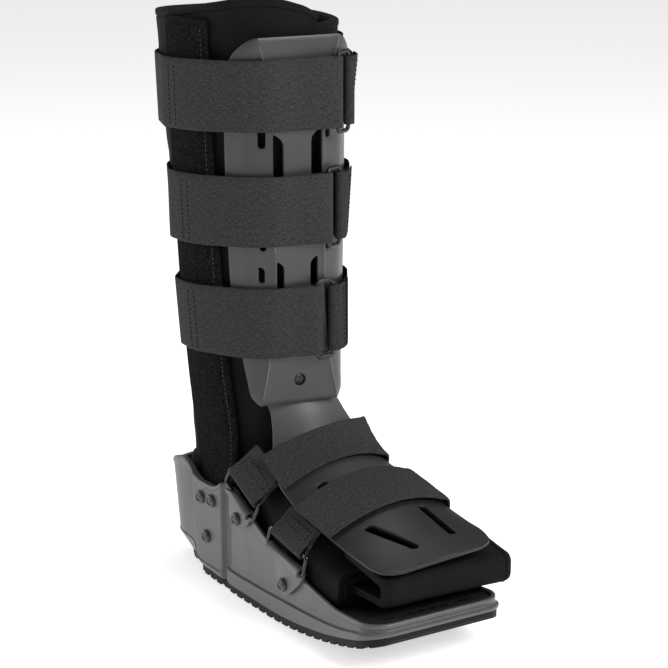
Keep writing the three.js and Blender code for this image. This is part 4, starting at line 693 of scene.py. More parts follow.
SLOTS = [  # across, top, bottom, width, slant, as shares of the panel's sizes
    (-0.14, 0.735, 0.48, 0.072, 0.03), (0.118, 0.745, 0.48, 0.072, -0.03), (-0.245, 0.79, 0.705, 0.05, 0),
    (0.205, 0.79, 0.725, 0.045, 0), (-0.128, 0.392, 0.19, 0.05, 0.02), (0.1, 0.4, 0.19, 0.05, -0.02),
    (-0.24, 0.45, 0.428, 0.04, 0), (-0.25, 0.382, 0.34, 0.04, 0.01), (0.2, 0.455, 0.42, 0.035, 0),
]


def slot_outline(across, top, bottom, width, slant):
    height = PANEL_TOP - PANEL_BOTTOM
    half, along, tilt = width * PANEL_WIDTH / 2, across * PANEL_WIDTH, slant * PANEL_WIDTH
    high, low = PANEL_BOTTOM + top * height, PANEL_BOTTOM + bottom * height
    corners = [(along - half, low), (along + half, low), (along + half, high - tilt), (along - half, high + tilt)]
    return rounded_outline(corners, half * 0.95, 7)


def tibial_panel():
    shares = np.concatenate([np.linspace(0, 0.07, 10), np.linspace(0.09, 0.86, 32), np.linspace(0.88, 1, 22)])
    zs = lerp(PANEL_BOTTOM, PANEL_TOP, shares)
    edge = PANEL_TABLE.curve(shares, "edge") * PANEL_WIDTH
    border = list(zip(edge, zs))
    border = rounded_outline(border + [(-e, z) for e, z in border[::-1]], PLATE_CORNER, 2)
    hole = [(x, HOLE_HEIGHT + z) for x, z in circle(28, HOLE_DIAMETER / 2)]
    holes = [slot_outline(*row) for row in SLOTS] + [hole]
    creases = []
    for z in np.arange(PANEL_BOTTOM + 1, PANEL_TOP - 1, 1.5):
        creases += [(side * (crease_at(z) + shift), z) for side in (-1, 1) for shift in (-1.8, -0.8, 0, 0.8, 1.8)]
    mapped = lambda along, z: panel_point(z, along)
    return flat_plate("tibial_shell", border, holes, mapped, 2.6, PANEL_THICKNESS, np.array(creases))


# Where painted highlights lie on the panel's creases, and the radius of the light rods that paint them
HIGHLIGHT_CREASES, HIGHLIGHT_RADIUS = ((0.02, 0.165), (0.42, 0.465), (0.8, 0.98)), 0.42  # shares of the panel's height


def crease_highlights():
    """Thin light rods on the shell's creases, clear of its slots: painted highlights where the creases catch the light
    """
    points, faces = [], []
    for side in (-1, 1):
        for start, end in HIGHLIGHT_CREASES:
            rings = []
            for t in np.linspace(0, 1, 24):
                z = lerp(PANEL_BOTTOM, PANEL_TOP, lerp(start, end, t))
                r = HIGHLIGHT_RADIUS * math.sin(math.pi * lerp(0.06, 0.94, t)) ** 0.4
                rings.append([panel_point(z, side * crease_at(z), 0.1) + [a, b, 0] for a, b in circle(8, r)])
            rod(points, faces, rings)
    return add_mesh("crease_highlights", points, faces)


INSTEP_TABLE = Table(
    ["at", "y", "z", "pitch", "half", "crown", "shift", "turn"],
    [0, 0.025, 0.818, 86, 0.34, 0.01, 0.08, 2],
    [0.018, 0.035, 0.83, 84, 0.42, 0.015, 0.08, 2],
    [0.05, 0.055, 0.852, 80, 0.475, 0.03, 0.075, 2],
    [0.11, 0.095, 0.9, 76, 0.5, 0.055, 0.07, 2],
    [0.19, 0.14, 0.972, 74, 0.5, 0.1, 0.06, 2],
    [0.3, 0.218, 1.068, 73, 0.5, 0.135, 0.045, 3],
    [0.42, 0.3, 1.145, 74, 0.5, 0.14, 0.03, 4],
    [0.54, 0.385, 1.212, 72, 0.48, 0.135, 0.02, 5],
    [0.63, 0.445, 1.28, 62, 0.45, 0.135, 0.02, 6],
    [0.7, 0.482, 1.375, 48, 0.4, 0.125, 0.022, 7],
    [0.77, 0.511, 1.49, 34, 0.34, 0.105, 0.025, 8],
    [0.84, 0.536, 1.6, 18, 0.295, 0.09, 0.02, 9],
    [0.9, 0.552, 1.7, 5, 0.275, 0.08, -0.015, 9],
    [1, 0.5545, 1.96, 0, 0.24, 0.06, -0.065, 9],
)


def instep_point(at, across, lift=0.0):
    get = lambda column: float(INSTEP_TABLE.curve(at, column))
    pitch, turn = math.radians(get("pitch")), math.radians(get("turn"))
    half, crown = get("half") * INSTEP_WIDTH, get("crown") * INSTEP_WIDTH
    drop = crown * (across / half) ** 2
    slope = math.atan(2 * crown * across / half**2)
    out = -drop + lift * math.cos(slope)
    side = across + lift * math.sin(slope)
    ny, nz = -math.cos(pitch), math.sin(pitch)
    return np.array([
        get("shift") * INSTEP_WIDTH + side * math.cos(turn),
        along_foot(get("y")) - side * math.sin(turn) * (1 - math.sin(pitch)) + ny * out,
        get("z") * COUNTER_HEIGHT + side * INSTEP_TILT * math.sin(pitch) + nz * out,
    ])


INSTEP_SLOTS = [  # from and to along the crest, start and end across it, width
    (0.085, 0.255, -0.102, -0.276, 0.066), (0.1, 0.27, 0.245, 0.214, 0.066),
    (0.475, 0.53, -0.245, -0.245, 0.092), (0.475, 0.53, 0.276, 0.276, 0.071),
]
CREST = 260.0  # length that the crest is spread over when the plate is meshed flat


def instep_panel():
    shares = np.concatenate([np.linspace(0, 0.12, 14), np.linspace(0.14, 1, 40)])
    half = INSTEP_TABLE.curve(shares, "half") * INSTEP_WIDTH
    border = [(h, share * CREST) for h, share in zip(half, shares)]
    border = rounded_outline(border + [(-h, along) for h, along in border[::-1]], PLATE_CORNER, 2)
    holes = []
    for a, b, start, end, width in INSTEP_SLOTS:
        w, c, d = width * INSTEP_WIDTH / 2, start * INSTEP_WIDTH, end * INSTEP_WIDTH
        corners = [(c - w, a * CREST), (c + w, a * CREST), (d + w, b * CREST), (d - w, b * CREST)]
        holes.append(rounded_outline(corners, w * 0.9, 7))
    mapped = lambda across, along: instep_point(along / CREST, across)
    return flat_plate("instep_shell", border, holes, mapped, 2.8, INSTEP_THICKNESS)


def panel_peg():
    """The head seen in the panel's hole, with a dimple, on its shaft"""
    face = panel_point(HOLE_HEIGHT, 0)
    out = unit(panel_point(HOLE_HEIGHT, 0, -1) - face)
    head = PEG_DIAMETER * 0.35
    profile = [(0.01, -5.3), (3.2, -5.3), (3.2, -2.4), (head, -2.3), (head, -1.4)]
    profile += [(head * 0.8, -0.95), (head * 0.45, -0.8), (head * 0.4, -1.3), (0.01, -1.4)]
    return lathe("peg", profile, face, out, 28)


def lathe(name, profile, origin, axis, sides):
    """A round body from radii and heights along an axis"""
    axis = unit(axis)
    u = unit(np.cross(axis, [0.3, 0.2, 1]))
    v = np.cross(axis, u)
    return loft(name, [[origin + axis * h + r * (c * u + s * v) for c, s in circle(sides)] for r, h in profile])


# Liner foot, with the opening for the leg
LINER_FOOT_TABLE = Table(
    ["at", "crest", "half", "flat"],
    [0.18, 0.66, 0.86, 0.8], [0.22, 0.73, 0.87, 0.7], [0.265, 0.87, 0.87, 0.55], [0.33, 0.99, 0.85, 0.5],
    [0.4, 1.08, 0.825, 0.45], [0.46, 1.15, 0.8, 0.45], [0.5, 1.19, 0.78, 0.5], [0.535, 1.21, 0.76, 0.55],
    [0.548, 0.945, 0.75, 0.9], [0.62, 0.945, 0.69, 0.92], [0.82, 0.945, 0.69, 0.92], [0.9, 0.945, 0.67, 0.92],
    [0.95, 0.945, 0.52, 0.92], [0.978, 0.945, 0.3, 0.92],
)


def liner_foot():
    shares = np.concatenate([np.linspace(0.18, 0.535, 46), np.linspace(0.54, 0.978, 40)])
    rings = []
    for at in shares:
        y = along_foot(at)
        get = lambda name: float(LINER_FOOT_TABLE.curve(at, name))
        width, flat = get("half") * TOE_WIDTH / 2, get("flat")
        low = float(insole_top(y)) + FLOOR_CLEARANCE
        high = get("crest") * COUNTER_HEIGHT
        corner = lerp(low, high, 0.45)
        half = [
            (width * 0.92, low), (width, low + 4), (width, corner),
            (width * lerp(0.94, 0.99, flat), lerp(corner, high, 0.55)),
            (width * flat, lerp(corner, high, 0.93)), (width * flat * 0.45, high),
        ]
        loop = [(x, y, z) for x, z in half] + [(-x, y, z) for x, z in half[::-1]]
        loop = spline(loop, 65, loop=True)[:-1]
        t = (loop[:, 2] - low) / max(high - low, 1)
        fold = 1.1 * ripple(loop[:, 2] / 9, np.full(len(loop), y / 13), 1.1) * np.clip(t * 2, 0, 1)
        centre = np.array([0, y, (low + high) / 2])
        loop += unit(centre - loop) * fold[:, None]
        rings.append(loop)
    points, faces = closed_loft(rings)
    half_leg, depth, middle = (float(v) for v in leg_size(LINER_BOTTOM))
    kept = []
    for f in faces:
        c = points[list(f)].mean(axis=0)
        across, along = abs(c[0]) / (half_leg - LINER_THICKNESS), abs(c[1] - middle) / (depth - LINER_THICKNESS)
        if len(f) > 4 or c[2] < 60 or across**2.2 + along**2.2 > 1:
            kept.append(f)
    obj = add_mesh("liner_foot_part", points, kept)
    thicken(obj, LINER_FOOT_WALL)
    return obj


def toe_flap():
    """The folded toe end, with its rings and how many of a ring's points lie on its outer face"""
    front = along_foot(FLAP_FRONT)
    low = float(insole_top(front)) + FLAP_LIFT

    def outer(inset, n):
        r = FLAP_ROUND - inset * 0.6
        bottom, top, face = low + inset, low + FLAP_HEIGHT - inset, front + inset
        bend = lambda y, z, a, b: [(y + c, z + s) for c, s in arc(r, a, b, 9)]
        path = [(front + FLAP_DEPTH, top + FLAP_SLOPE * FLAP_DEPTH)]
        start = bend(face + r, top - r, 100, 180)
        path += [tuple(lerp(np.array(path[0]), np.array(start[0]), t)) for t in np.linspace(0, 1, n)[1:-1]]
        path += start + bend(face + r, bottom + r, 180, 270)
        end = (along_foot(LINER_FOOT_TABLE.x[0]) - GAP, bottom)
        path += [tuple(lerp(np.array(path[-1]), np.array(end), t)) for t in np.linspace(0, 1, n)[1:]]
        return path

    def cap(a, b, back):
        """The cloth's rounded end between two points"""
        a, b = np.array(a), np.array(b)
        c, r = (a + b) / 2, (a - b) / 2
        side = np.array([back[0], back[1]]) * np.linalg.norm(r)
        return [tuple(c + r * math.cos(q) + side * math.sin(q) * 0.7) for q in np.linspace(0, math.pi, 7)[1:-1]]

    over, under = outer(0, 12), outer(FLAP_THICKNESS, 12)[::-1]
    profile = np.array(over + cap(over[-1], under[0], (1, 0)) + under + cap(under[-1], over[0], (0.98, 0.17)))
    middle_y, middle_z = front + FLAP_DEPTH / 2, low + FLAP_HEIGHT / 2
    ends = Table(
        ["x", "shrink", "sag"],
        [-1, 0.93, 0], [-0.985, 0.97, 0], [-0.95, 1, 0], [-0.9, 1, 0.05], [0, 1, 0.4], [0.82, 1, 1.4],
        [0.92, 0.965, 1.7], [0.97, 0.88, 1.9], [1, 0.72, 2],
    )
    n = len(over)
    right_end = [-1, -0.993, -0.98, -0.965, -0.955, -0.945, -0.93]
    xs = np.concatenate([right_end, np.linspace(-0.9, 0.8, 64), np.linspace(0.83, 1, 18)])
    rings = []
    for x in xs:
        shrink, sag = float(ends.curve(x, "shrink")), float(ends.curve(x, "sag"))
        ring = []
        hem = 0.8 * groove(x, -0.93, 0.006) + 0.5 * groove(x, 0.86, 0.006)
        for k, (y, z) in enumerate(profile):
            out = np.array([y - (front + 22), z - middle_z])
            out = out / max(np.linalg.norm(out), 1e-6)
            puff = 0.0
            if k < n:
                t = k / n
                puff = 0.9 * ripple(np.float64(x * 3.2), np.float64(t * 5), 0.7) * (1 - abs(x) ** 6) - 0.9 - hem
            y, z = lerp(middle_y, y + out[0] * puff, shrink), lerp(middle_z, z + out[1] * puff, shrink)
            ring.append((FLAP_SHIFT + x * FLAP_WIDTH / 2, y, z - sag + FLOOR_CLEARANCE + 0.8))
        rings.append(ring)
    return loft("toe_fold", rings), np.array(rings), n


# Calf straps follow the convex hull of what they lie on
STEP = 1.5  # degrees between the radii


def hull_radii(z):
    """The hull's radius at each step round the leg, from its front towards the wearer's right"""
    points = [tuple(leg_point(z, a)[:2]) for a in np.linspace(0, 360, 60, endpoint=False)]
    for side in (-1, 1):
        points += [(side * (stay_inner(z, y) + STAY_THICKNESS), y) for y in stay_across(z)]
    if PANEL_BOTTOM < z < PANEL_TOP:
        points += [tuple(panel_point(z, a, depth=0.4, soft=0.3)[:2]) for a in panel_marks(z)]
    points = sorted(points)

    def half(rows):
        kept = []
        for p in rows:
            while len(kept) > 1:
                a, b = kept[-2], kept[-1]
                if (b[0] - a[0]) * (p[1] - a[1]) - (b[1] - a[1]) * (p[0] - a[0]) > 0:
                    break
                kept.pop()
            kept.append(p)
        return kept[:-1]

    hull = np.array(half(points) + half(points[::-1]))
    hull[:, 1] -= float(leg_size(z)[2])
    edge = np.roll(hull, -1, axis=0) - hull
    angles = np.radians(np.arange(0, 360, STEP))
    d = np.stack([-np.sin(angles), -np.cos(angles)], axis=1)
    det = d[:, None, 0] * edge[None, :, 1] - d[:, None, 1] * edge[None, :, 0]
    det = np.where(np.abs(det) < 1e-9, 1e-9, det)
    t = (hull[None, :, 0] * edge[None, :, 1] - hull[None, :, 1] * edge[None, :, 0]) / det
    u = (hull[None, :, 0] * d[:, None, 1] - hull[None, :, 1] * d[:, None, 0]) / det
    return np.where((t > 0) & (u > -1e-6) & (u < 1 + 1e-6), t, 0).max(axis=1)


wraps = {}  # the smooth lines that are already worked out, by height


def wrap_radius(z, degrees):
    """A smooth line round the hull at a height"""
    level = round(z / 2) * 2
    if level not in wraps:
        r = hull_radii(level)
        grown = np.maximum.reduce([np.roll(r, k) for k in range(-2, 3)])
        kernel = np.array([1, 3, 5, 3, 1]) / 13
        padded = np.concatenate([grown[-2:], grown, grown[:2]])
        smooth = np.convolve(padded, kernel, mode="valid")
        wraps[level] = np.append(smooth, smooth[0])
    return float(np.interp((degrees % 360) / STEP, np.arange(len(wraps[level])), wraps[level]))


def wrap_point(z, degrees, offset):
    r = wrap_radius(z, degrees) + offset
    a = math.radians(degrees)
    return np.array([-math.sin(a) * r, float(leg_size(z)[2]) - math.cos(a) * r, z])


STRAPS = [  # height as a share of the boot's; the ring, the strap's end and the tab's end in degrees round the leg
    dict(height=0.8485, ring=-15, end=97, tail=-80),
    dict(height=0.661, ring=-12.5, end=93, tail=-80),
    dict(height=0.4765, ring=-7, end=95, tail=-80),
]
INNER_LAYER = WRAP_GAP + STRAP_THICKNESS / 2
OUTER_LAYER = INNER_LAYER + STRAP_THICKNESS + GAP
BAR_OFFSET = INNER_LAYER + STRAP_THICKNESS / 2 + GAP + 0.25 + RING_THICKNESS / 2
TURN_ALONG = RING_BAR / 2 + GAP + 0.2 + STRAP_THICKNESS / 2
TURN_OUT = RING_THICKNESS / 2 + GAP + 0.25 + STRAP_THICKNESS / 2
BAR_SPREAD = RING_WIDTH - RING_BAR


def ring_frame(strap):
    """A ring's height, its place on the wrap line, and its directions along the strap and outward"""
    z, ring = strap["height"] * BOOT_HEIGHT, strap["ring"]
    here = wrap_point(z, ring, 0)
    ahead = unit(wrap_point(z, ring + 3, 0) - wrap_point(z, ring - 3, 0))
    out = np.array([ahead[1], -ahead[0], 0])
    if np.dot(out, here - np.array([0, float(leg_size(z)[2]), z])) < 0:
        out = -out
    lift = 0.0
    for level in (-0.5, 0, 0.5):
        for near in np.linspace(-9, 9, 7):
            below = wrap_point(z + level * STRAP_WIDTH, ring + near, 0) - here
            below[2] = 0
            if abs(np.dot(below, ahead)) < RING_WIDTH * 0.6:
                lift = max(lift, float(np.dot(below, out)))
    return z, here + out * lift, ahead, out


def strap_height(p, z):
    return z - (p[1] - SHIN_Y) * math.tan(math.radians(STRAP_TILT))


def loop_path(strap, direction, inner_end, outer_end):
    """The strap's middle line in plan at the ring's height: its inner layer, its turn round the bar and its outer
    layer"""
    z, here, ahead, out = ring_frame(strap)
    near = lambda along, lift: here + ahead * direction * along + out * (BAR_OFFSET + lift)
    start = strap["ring"] + direction * RING_REACH
    angles = lambda a, b: np.linspace(a, b, max(6, int(abs(b - a) / 2)))
    inner = [wrap_point(z, a, INNER_LAYER) for a in angles(inner_end, start)]
    outer = []
    for a in angles(start, outer_end):
        t = float(smoothstep(abs(a - start) / RING_RAMP, 0, 1))
        outer.append(wrap_point(z, a, lerp(BAR_OFFSET + TURN_OUT, OUTER_LAYER, t)))
    bar, edge = BAR_SPREAD / 2, BAR_SPREAD / 2 + RING_BAR / 2 + 1.2
    round_bar = [near(bar - TURN_ALONG * c, TURN_OUT * s) for c, s in arc(1, -90, 90, 11)]
    return z, inner, [near(edge, -TURN_OUT)] + round_bar + [near(edge, TURN_OUT)], outer


LEVELS = np.array([-1, -0.985, -0.8, -0.5, -0.25, 0, 0.25, 0.5, 0.8, 0.985, 1])  # places across a strap
FIT = (-1, -0.5, 0, 0.5, 1)  # places across it where it has to clear the hull


def ribbon(name, strap, direction, inner_end, outer_end, width, thickness):
    """A strap round the leg and its ring, with its upper and lower edges and where the turn is"""
    z, inner, turn, outer = loop_path(strap, direction, inner_end, outer_end)
    plan = np.array(inner + turn + outer)
    angles = np.degrees(np.arctan2(-plan[:, 0], -(plan[:, 1] - float(leg_size(z)[2]))))
    base = np.array([wrap_radius(z, a) for a in angles])
    fixed = np.zeros(len(plan), bool)
    fixed[len(inner) : len(inner) + len(turn)] = True
    edges = {}
    for level in (-1, 1):
        rows = []
        for p, a, b, held in zip(plan, angles, base, fixed):
            middle = strap_height(p, z)
            h = middle + level * width / 2
            if held:
                rows.append((p[0], p[1], h))
                continue
            rs = [wrap_radius(middle + s * width / 2, a) for s in FIT]
            extra = max(0.0, max(r - lerp(rs[0], rs[4], (s + 1) / 2) for r, s in zip(rs, FIT)))
            own = rs[0] if level < 0 else rs[4]
            shift = own + extra - b
            out = np.array([-math.sin(math.radians(a)), -math.cos(math.radians(a))])
            rows.append((p[0] + out[0] * shift, p[1] + out[1] * shift, h))
        rows = np.array(rows)
        for _ in range(4):
            mid = (rows[:-2] + rows[2:]) / 2
            free = ~fixed[1:-1]
            rows[1:-1][free] = lerp(rows[1:-1][free], mid[free], 0.5)
        edges[level] = rows
    low, high = edges[-1], edges[1]
    path = (low + high) / 2
    along = lengths(path[:, :2])
    tangent = unit(np.gradient(path, axis=0) * [1, 1, 0])
    normal = np.stack([tangent[:, 1], -tangent[:, 0], np.zeros(len(path))], axis=1)
    rings, uv = [], []
    n = len(path)
    for i in range(n):
        t = thickness / 2 * (0.55 if i in (0, n - 1) else 1)
        side = []
        for sign, order in ((1, LEVELS), (-1, LEVELS[::-1])):
            for level in order:
                thin = 0.35 if abs(level) == 1 else (0.9 if abs(level) > 0.98 else 1)
                p = lerp(low[i], high[i], (level + 1) / 2) + normal[i] * (sign * t * thin)
                side.append(p)
                uv.append((along[i] / 1000, level * width / 2000))
        rings.append(side)
    turn = (len(inner), len(inner) + len(turn))
    info = {"low": low, "high": high, "normal": normal, "along": along, "turn": turn, "half": thickness / 2}
    return loft(name, rings, uv), info


def outer_side(info, i):
    """The side of a strap that faces away from the leg at a step of its path"""
    p = (info["low"][i] + info["high"][i]) / 2
    away = unit(np.array([p[0], p[1] - 80, 0]))
    return 1 if np.dot(info["normal"][i], away) > 0 else -1


STITCH_LENGTH, STITCH_GAP, THREAD_RADIUS = 2.3, 1.1, 0.32
STITCH_TABLE = [(-0.5, 0.35, -0.25), (-0.3, 0.9, 0.05), (0.0, 1.0, 0.2), (0.3, 0.9, 0.05), (0.5, 0.35, -0.25)]


def stitches(name, lines):
    """Short thread capsules along lines on a surface; each has rings by place along it, radius and lift"""
    points, faces = [], []
    for line, normals in lines:
        steps = lengths(line)
        at = STITCH_GAP / 2
        while at + STITCH_LENGTH < steps[-1]:
            mid = at + STITCH_LENGTH / 2
            p, n = follow(line, steps, mid), unit(follow(normals, steps, mid))
            t = unit(follow(line, steps, at + STITCH_LENGTH) - follow(line, steps, at))
            side = np.cross(n, t)
            rings = []
            for share, r, lift in STITCH_TABLE:
                c = p + t * STITCH_LENGTH * share + n * THREAD_RADIUS * lift
                rings.append([c + THREAD_RADIUS * r * (a * n * 0.8 + b * side) for a, b in circle(6)])
            rod(points, faces, rings)
            at += STITCH_LENGTH + STITCH_GAP
    return add_mesh(name, points, faces)


def line_across(info, i, inset=2.0):
    """A line over a strap's width at a step of its path, with its normals"""
    side = outer_side(info, i)
    n = info["normal"][i] * side
    low, high = info["low"][i], info["high"][i]
    up = unit(high - low)
    a, b = low + up * inset, high - up * inset
    lift = info["half"] + 0.12
    return np.array([lerp(a, b, t) + n * lift for t in np.linspace(0, 1, 12)]), np.array([n] * 12)


def step_at(info, distance, start):
    """The path's step nearest to a distance from one of its steps"""
    return int(np.argmin(np.abs(info["along"] - (info["along"][start] + distance))))


def bent_rod(name, origin, across, up, out, corners, radius, count, section):
    """A closed loop of rod; the centres of its rounded corners go round from the upper far one"""
    rings = []
    for k, (a, b) in enumerate(corners):
        for q in np.radians(np.linspace(90 * k, 90 * k + 90, count)):
            d = across * math.cos(q) + up * math.sin(q)
            centre = origin + across * a + up * b + d * radius
            rings.append([centre + x * d + y * out for x, y in section])
    return loft(name, rings, around=True)


RING_CORNER, WIRE_CORNER = 3.4, 3.0


def calf_ring(name, strap):
    """A flat loop with round corners and a section between a box and an oval"""
    z, here, ahead, out = ring_frame(strap)
    height = STRAP_WIDTH + 2 * RING_CLEARANCE + 2 * RING_BAR
    middle = here + out * BAR_OFFSET
    middle[2] = strap_height(here, z)
    w, h = (RING_WIDTH - RING_BAR) / 2 - RING_CORNER, (height - RING_BAR) / 2 - RING_CORNER
    boxy = lambda size, c: size / 2 * np.sign(c) * abs(c) ** 0.75
    section = [(boxy(RING_BAR, c), boxy(RING_THICKNESS, s)) for c, s in circle(16)]
    corners = ((w, h), (-w, h), (-w, -h), (w, -h))
    return bent_rod(name, middle, ahead, np.array([0, 0, 1.0]), out, corners, RING_CORNER, 7, section)


# Foot straps
FOOT_STRAPS = [  # over the instep: its edges, their skew, start and end; on the far wall: place, top, foot and width
    dict(
        front=0.59, front_skew=0.029, rear=0.75, rear_skew=0.059, start=-0.449, end=0.469,
        at=0.5465, top=0.841, low=0.5, width=0.133,
    ),
    dict(
        front=0.29, front_skew=0.01, rear=0.497, rear_skew=0.02, start=-0.51, end=0.52,
        at=0.3073, top=0.568, low=0.278, width=0.126,
    ),
]


def wall_point(side, y, z, out=0.0):
    """A point of the base's outer wall, on the wearer's right at side -1 and left at 1"""
    w = wall_sizes(np.float64(y))
    rise = w["face"] + w["lean"] * np.clip((z - w["ridge"]) / (w["top"] - w["ridge"]), 0, 1)
    return np.array([side * float(wall_half(y) + rise + out), y, z])


def wall_normal(side, y, z):
    a = wall_point(side, y + 2, z) - wall_point(side, y - 2, z)
    b = wall_point(side, y, z + 2) - wall_point(side, y, z - 2)
    n = unit(np.cross(a, b))
    return -n if n[0] * side < 0 else n


def foot_strap_lines(strap, marks, count=70):
    """Lines along the strap, one for each place across its width"""
    lines = []
    y, end, width = along_foot(strap["at"]), strap["low"] * COUNTER_HEIGHT, strap["width"] * FOOT_LENGTH
    middle = FOOT_STRAP_THICKNESS / 2
    for share in marks:
        line = []
        for across in np.linspace(strap["start"], strap["end"], 15):
            front = strap["front"] + strap["front_skew"] * across
            rear = strap["rear"] + strap["rear_skew"] * across
            line.append(instep_point(lerp(front, rear, share), across * INSTEP_WIDTH, FOOT_STRAP_LIFT + middle))
        for z, reach in ((strap["top"] * COUNTER_HEIGHT, 1.2), (end + ANCHOR_HEIGHT, GAP), (end, GAP)):
            line.append(wall_point(1, y + (share - 0.5) * width, z, reach + 0.1 + middle))
        lines.append(spline(line, count))
    return np.array(lines)


def foot_strap(name, strap):
    """A strap over the instep and down the far wall"""
    marks = np.concatenate([[0, 0.012], np.linspace(0.06, 0.94, 15), [0.988, 1]])
    lines = foot_strap_lines(strap, marks)
    m, n = lines.shape[:2]
    along = np.gradient(lines, axis=1)
    across = np.gradient(lines, axis=0)
    normal = unit(np.cross(along, across))
    if normal[m // 2, n // 3, 2] < 0:
        normal = -normal
    length = np.array([lengths(line) for line in lines])
    width = np.array([lengths(lines[:, j]) for j in range(n)])
    rings, uv = [], []
    for j in range(n):
        t = FOOT_STRAP_THICKNESS / 2 * (0.5 if j in (0, n - 1) else 1)
        ring = []
        for sign, order in ((1, range(m)), (-1, range(m - 1, -1, -1))):
            for i in order:
                thin = 0.35 if i in (0, m - 1) else (0.88 if i in (1, m - 2) else 1)
                ring.append(lines[i, j] + normal[i, j] * sign * t * thin)
                uv.append((length[i, j] / 1000, width[j, i] / 1000))
        rings.append(ring)
    return loft(name, rings, uv)


# Wire rings, their tabs and the strap ends, on the wearer's right
WIRE_RINGS = [  # the tab's bar and the strap's fold on the wall, the bar's direction, lengths and the end's direction
    dict(
        bar=(0.5714, 0.875), fold=(0.5482, 1.017), along=(-0.906, -0.423), wire=1.119, tube=0.786,
        end=(0.102, -0.133, 0.092), rivet=(0.5963, 0.693),
    ),
    dict(
        bar=(0.3538, 0.608), fold=(0.3455, 0.761), along=(-0.985, -0.17), wire=1.262, tube=1.048,
        end=(0.102, 0.005, 0.133), rivet=(0.3738, 0.364),
    ),
]
TAB_OUTLINES = [  # corners on the wall, as shares of the foot's length and the counter's height
    [
        (0.6296, 0.955), (0.6362, 0.795), (0.6329, 0.682), (0.6196, 0.619), (0.5997, 0.614), (0.5465, 0.676),
        (0.5199, 0.807), (0.5133, 0.909),
    ],
    [
        (0.4302, 0.75), (0.4269, 0.614), (0.407, 0.375), (0.397, 0.307), (0.3771, 0.278), (0.3555, 0.29),
        (0.294, 0.466), (0.2741, 0.614), (0.2708, 0.727),
    ],
]


def on_wall(place):
    return along_foot(place[0]), place[1] * COUNTER_HEIGHT


def wire_frame(ring):
    """The bar's middle, the directions along it, out of the wall and towards the fold, and the fold's distance"""
    bar = wall_point(-1, *on_wall(ring["bar"]), BAR_OUT)
    fold = wall_point(-1, *on_wall(ring["fold"]), FOLD_OUT)
    normal = wall_normal(-1, *on_wall(ring["bar"]))
    along = np.array([0, *ring["along"]])
    along = unit(along - normal * np.dot(along, normal))
    up = fold - bar
    up = up - along * np.dot(up, along)
    return bar, along, normal, unit(up), float(np.linalg.norm(up))


def wire_ring(name, ring):
    bar, along, _, up, reach = wire_frame(ring)
    r, half = WIRE_CORNER, (ring["wire"] * FOOT_END_WIDTH - WIRE) / 2 - WIRE_CORNER
    corners = ((half, reach - r), (-half, reach - r), (-half, r), (half, r))
    return bent_rod(name, bar, along, up, np.cross(along, up), corners, r, 8, circle(14, WIRE / 2))


def prism(name, shape, origin, u, v, axis, length):
    """A flat shape given by u and v, as long as told along the axis and centred on the origin"""
    ends = (-0.5, 0.5)
    rings = [[origin + a * u + b * v + axis * share * length for a, b in shape] for share in ends]
    return loft(name, rings, [(a / 1000, share * length / 1000) for share in ends for a, b in shape])


def wire_tab(name, ring, corners):
    """A plate on the wall, rolled round the ring's bar at its top and cut to its outline"""
    bar, along, out, _, _ = wire_frame(ring)
    down = np.cross(along, out)
    if down[2] > 0:
        down = -down
    r, wall = TUBE_DIAMETER / 2, TAB_GAP - BAR_OUT
    top = wall + TAB_THICKNESS
    fillet = [(r + 1.6 * (1 - t) ** 2, lerp(top, 0.2, t**1.6)) for t in np.linspace(0, 0.85, 5)]
    shape = [(60, wall), (60, top), (r + 2.4, top)] + fillet + arc(r, 0, 262, 34) + [(0.2, wall)]
    length = ring["tube"] * FOOT_END_WIDTH
    body = prism(name, shape, bar, down, out, along, length)
    flat = rounded_outline([(along_foot(a), h * COUNTER_HEIGHT) for a, h in corners], 6, 7)
    x, y, z = np.eye(3)
    boolean(body, prism("cutter", flat, -x * TOE_WIDTH / 2, y, z, x, TOE_WIDTH), "INTERSECT")
    bore = circle(24, WIRE / 2 + GAP + 0.1)
    boolean(body, prism("bore", bore, bar, down, out, along, length + 10), "DIFFERENCE")
    bevel(body, 0.45, 2, 50)
    return body


def strap_end(name, ring):
    """A strap's narrower end, folded round the wire: two layers that part before the fold. Gives also the fold's
    place, the directions towards the strap, outward and along the wire, and the end's length and width"""
    bar, along, _, up, reach = wire_frame(ring)
    top = bar + up * reach
    rise = np.array(ring["end"]) * INSTEP_WIDTH
    rise = rise - along * np.dot(rise, along)
    length = float(np.linalg.norm(rise)) + END_LAP
    rise = unit(rise)
    out = np.cross(along, rise)
    if out[0] > 0:
        out = -out
    t, turn = FOOT_STRAP_THICKNESS, WIRE / 2 + GAP
    narrow = t + GAP / 2
    parted, width = 12, FOOT_END_WIDTH - 4.5
    ease = lambda x0, y0, x1, y1: [(lerp(x0, x1, s), lerp(y0, y1, s * s * (3 - 2 * s))) for s in np.linspace(0, 1, 8)]
    shape = ease(length, narrow, parted, narrow)[:3] + ease(parted, narrow, 0.5, turn + t)[:-1]
    shape += arc(turn + t, 90, 270, 17)
    shape += ease(0.5, -turn - t, parted, -narrow)[1:] + [(length, -narrow), (length, -GAP / 2)]
    shape += ease(parted, -GAP / 2, 1.5, -turn * 0.8) + arc(turn, 260, 100, 17)
    shape += ease(1.5, turn * 0.8, parted, GAP / 2) + [(length, GAP / 2)]
    obj = prism(name, shape, top, rise, out, along, width)
    return obj, (top, rise, out, along, length, width, narrow)


ROOM_HEIGHT = 30


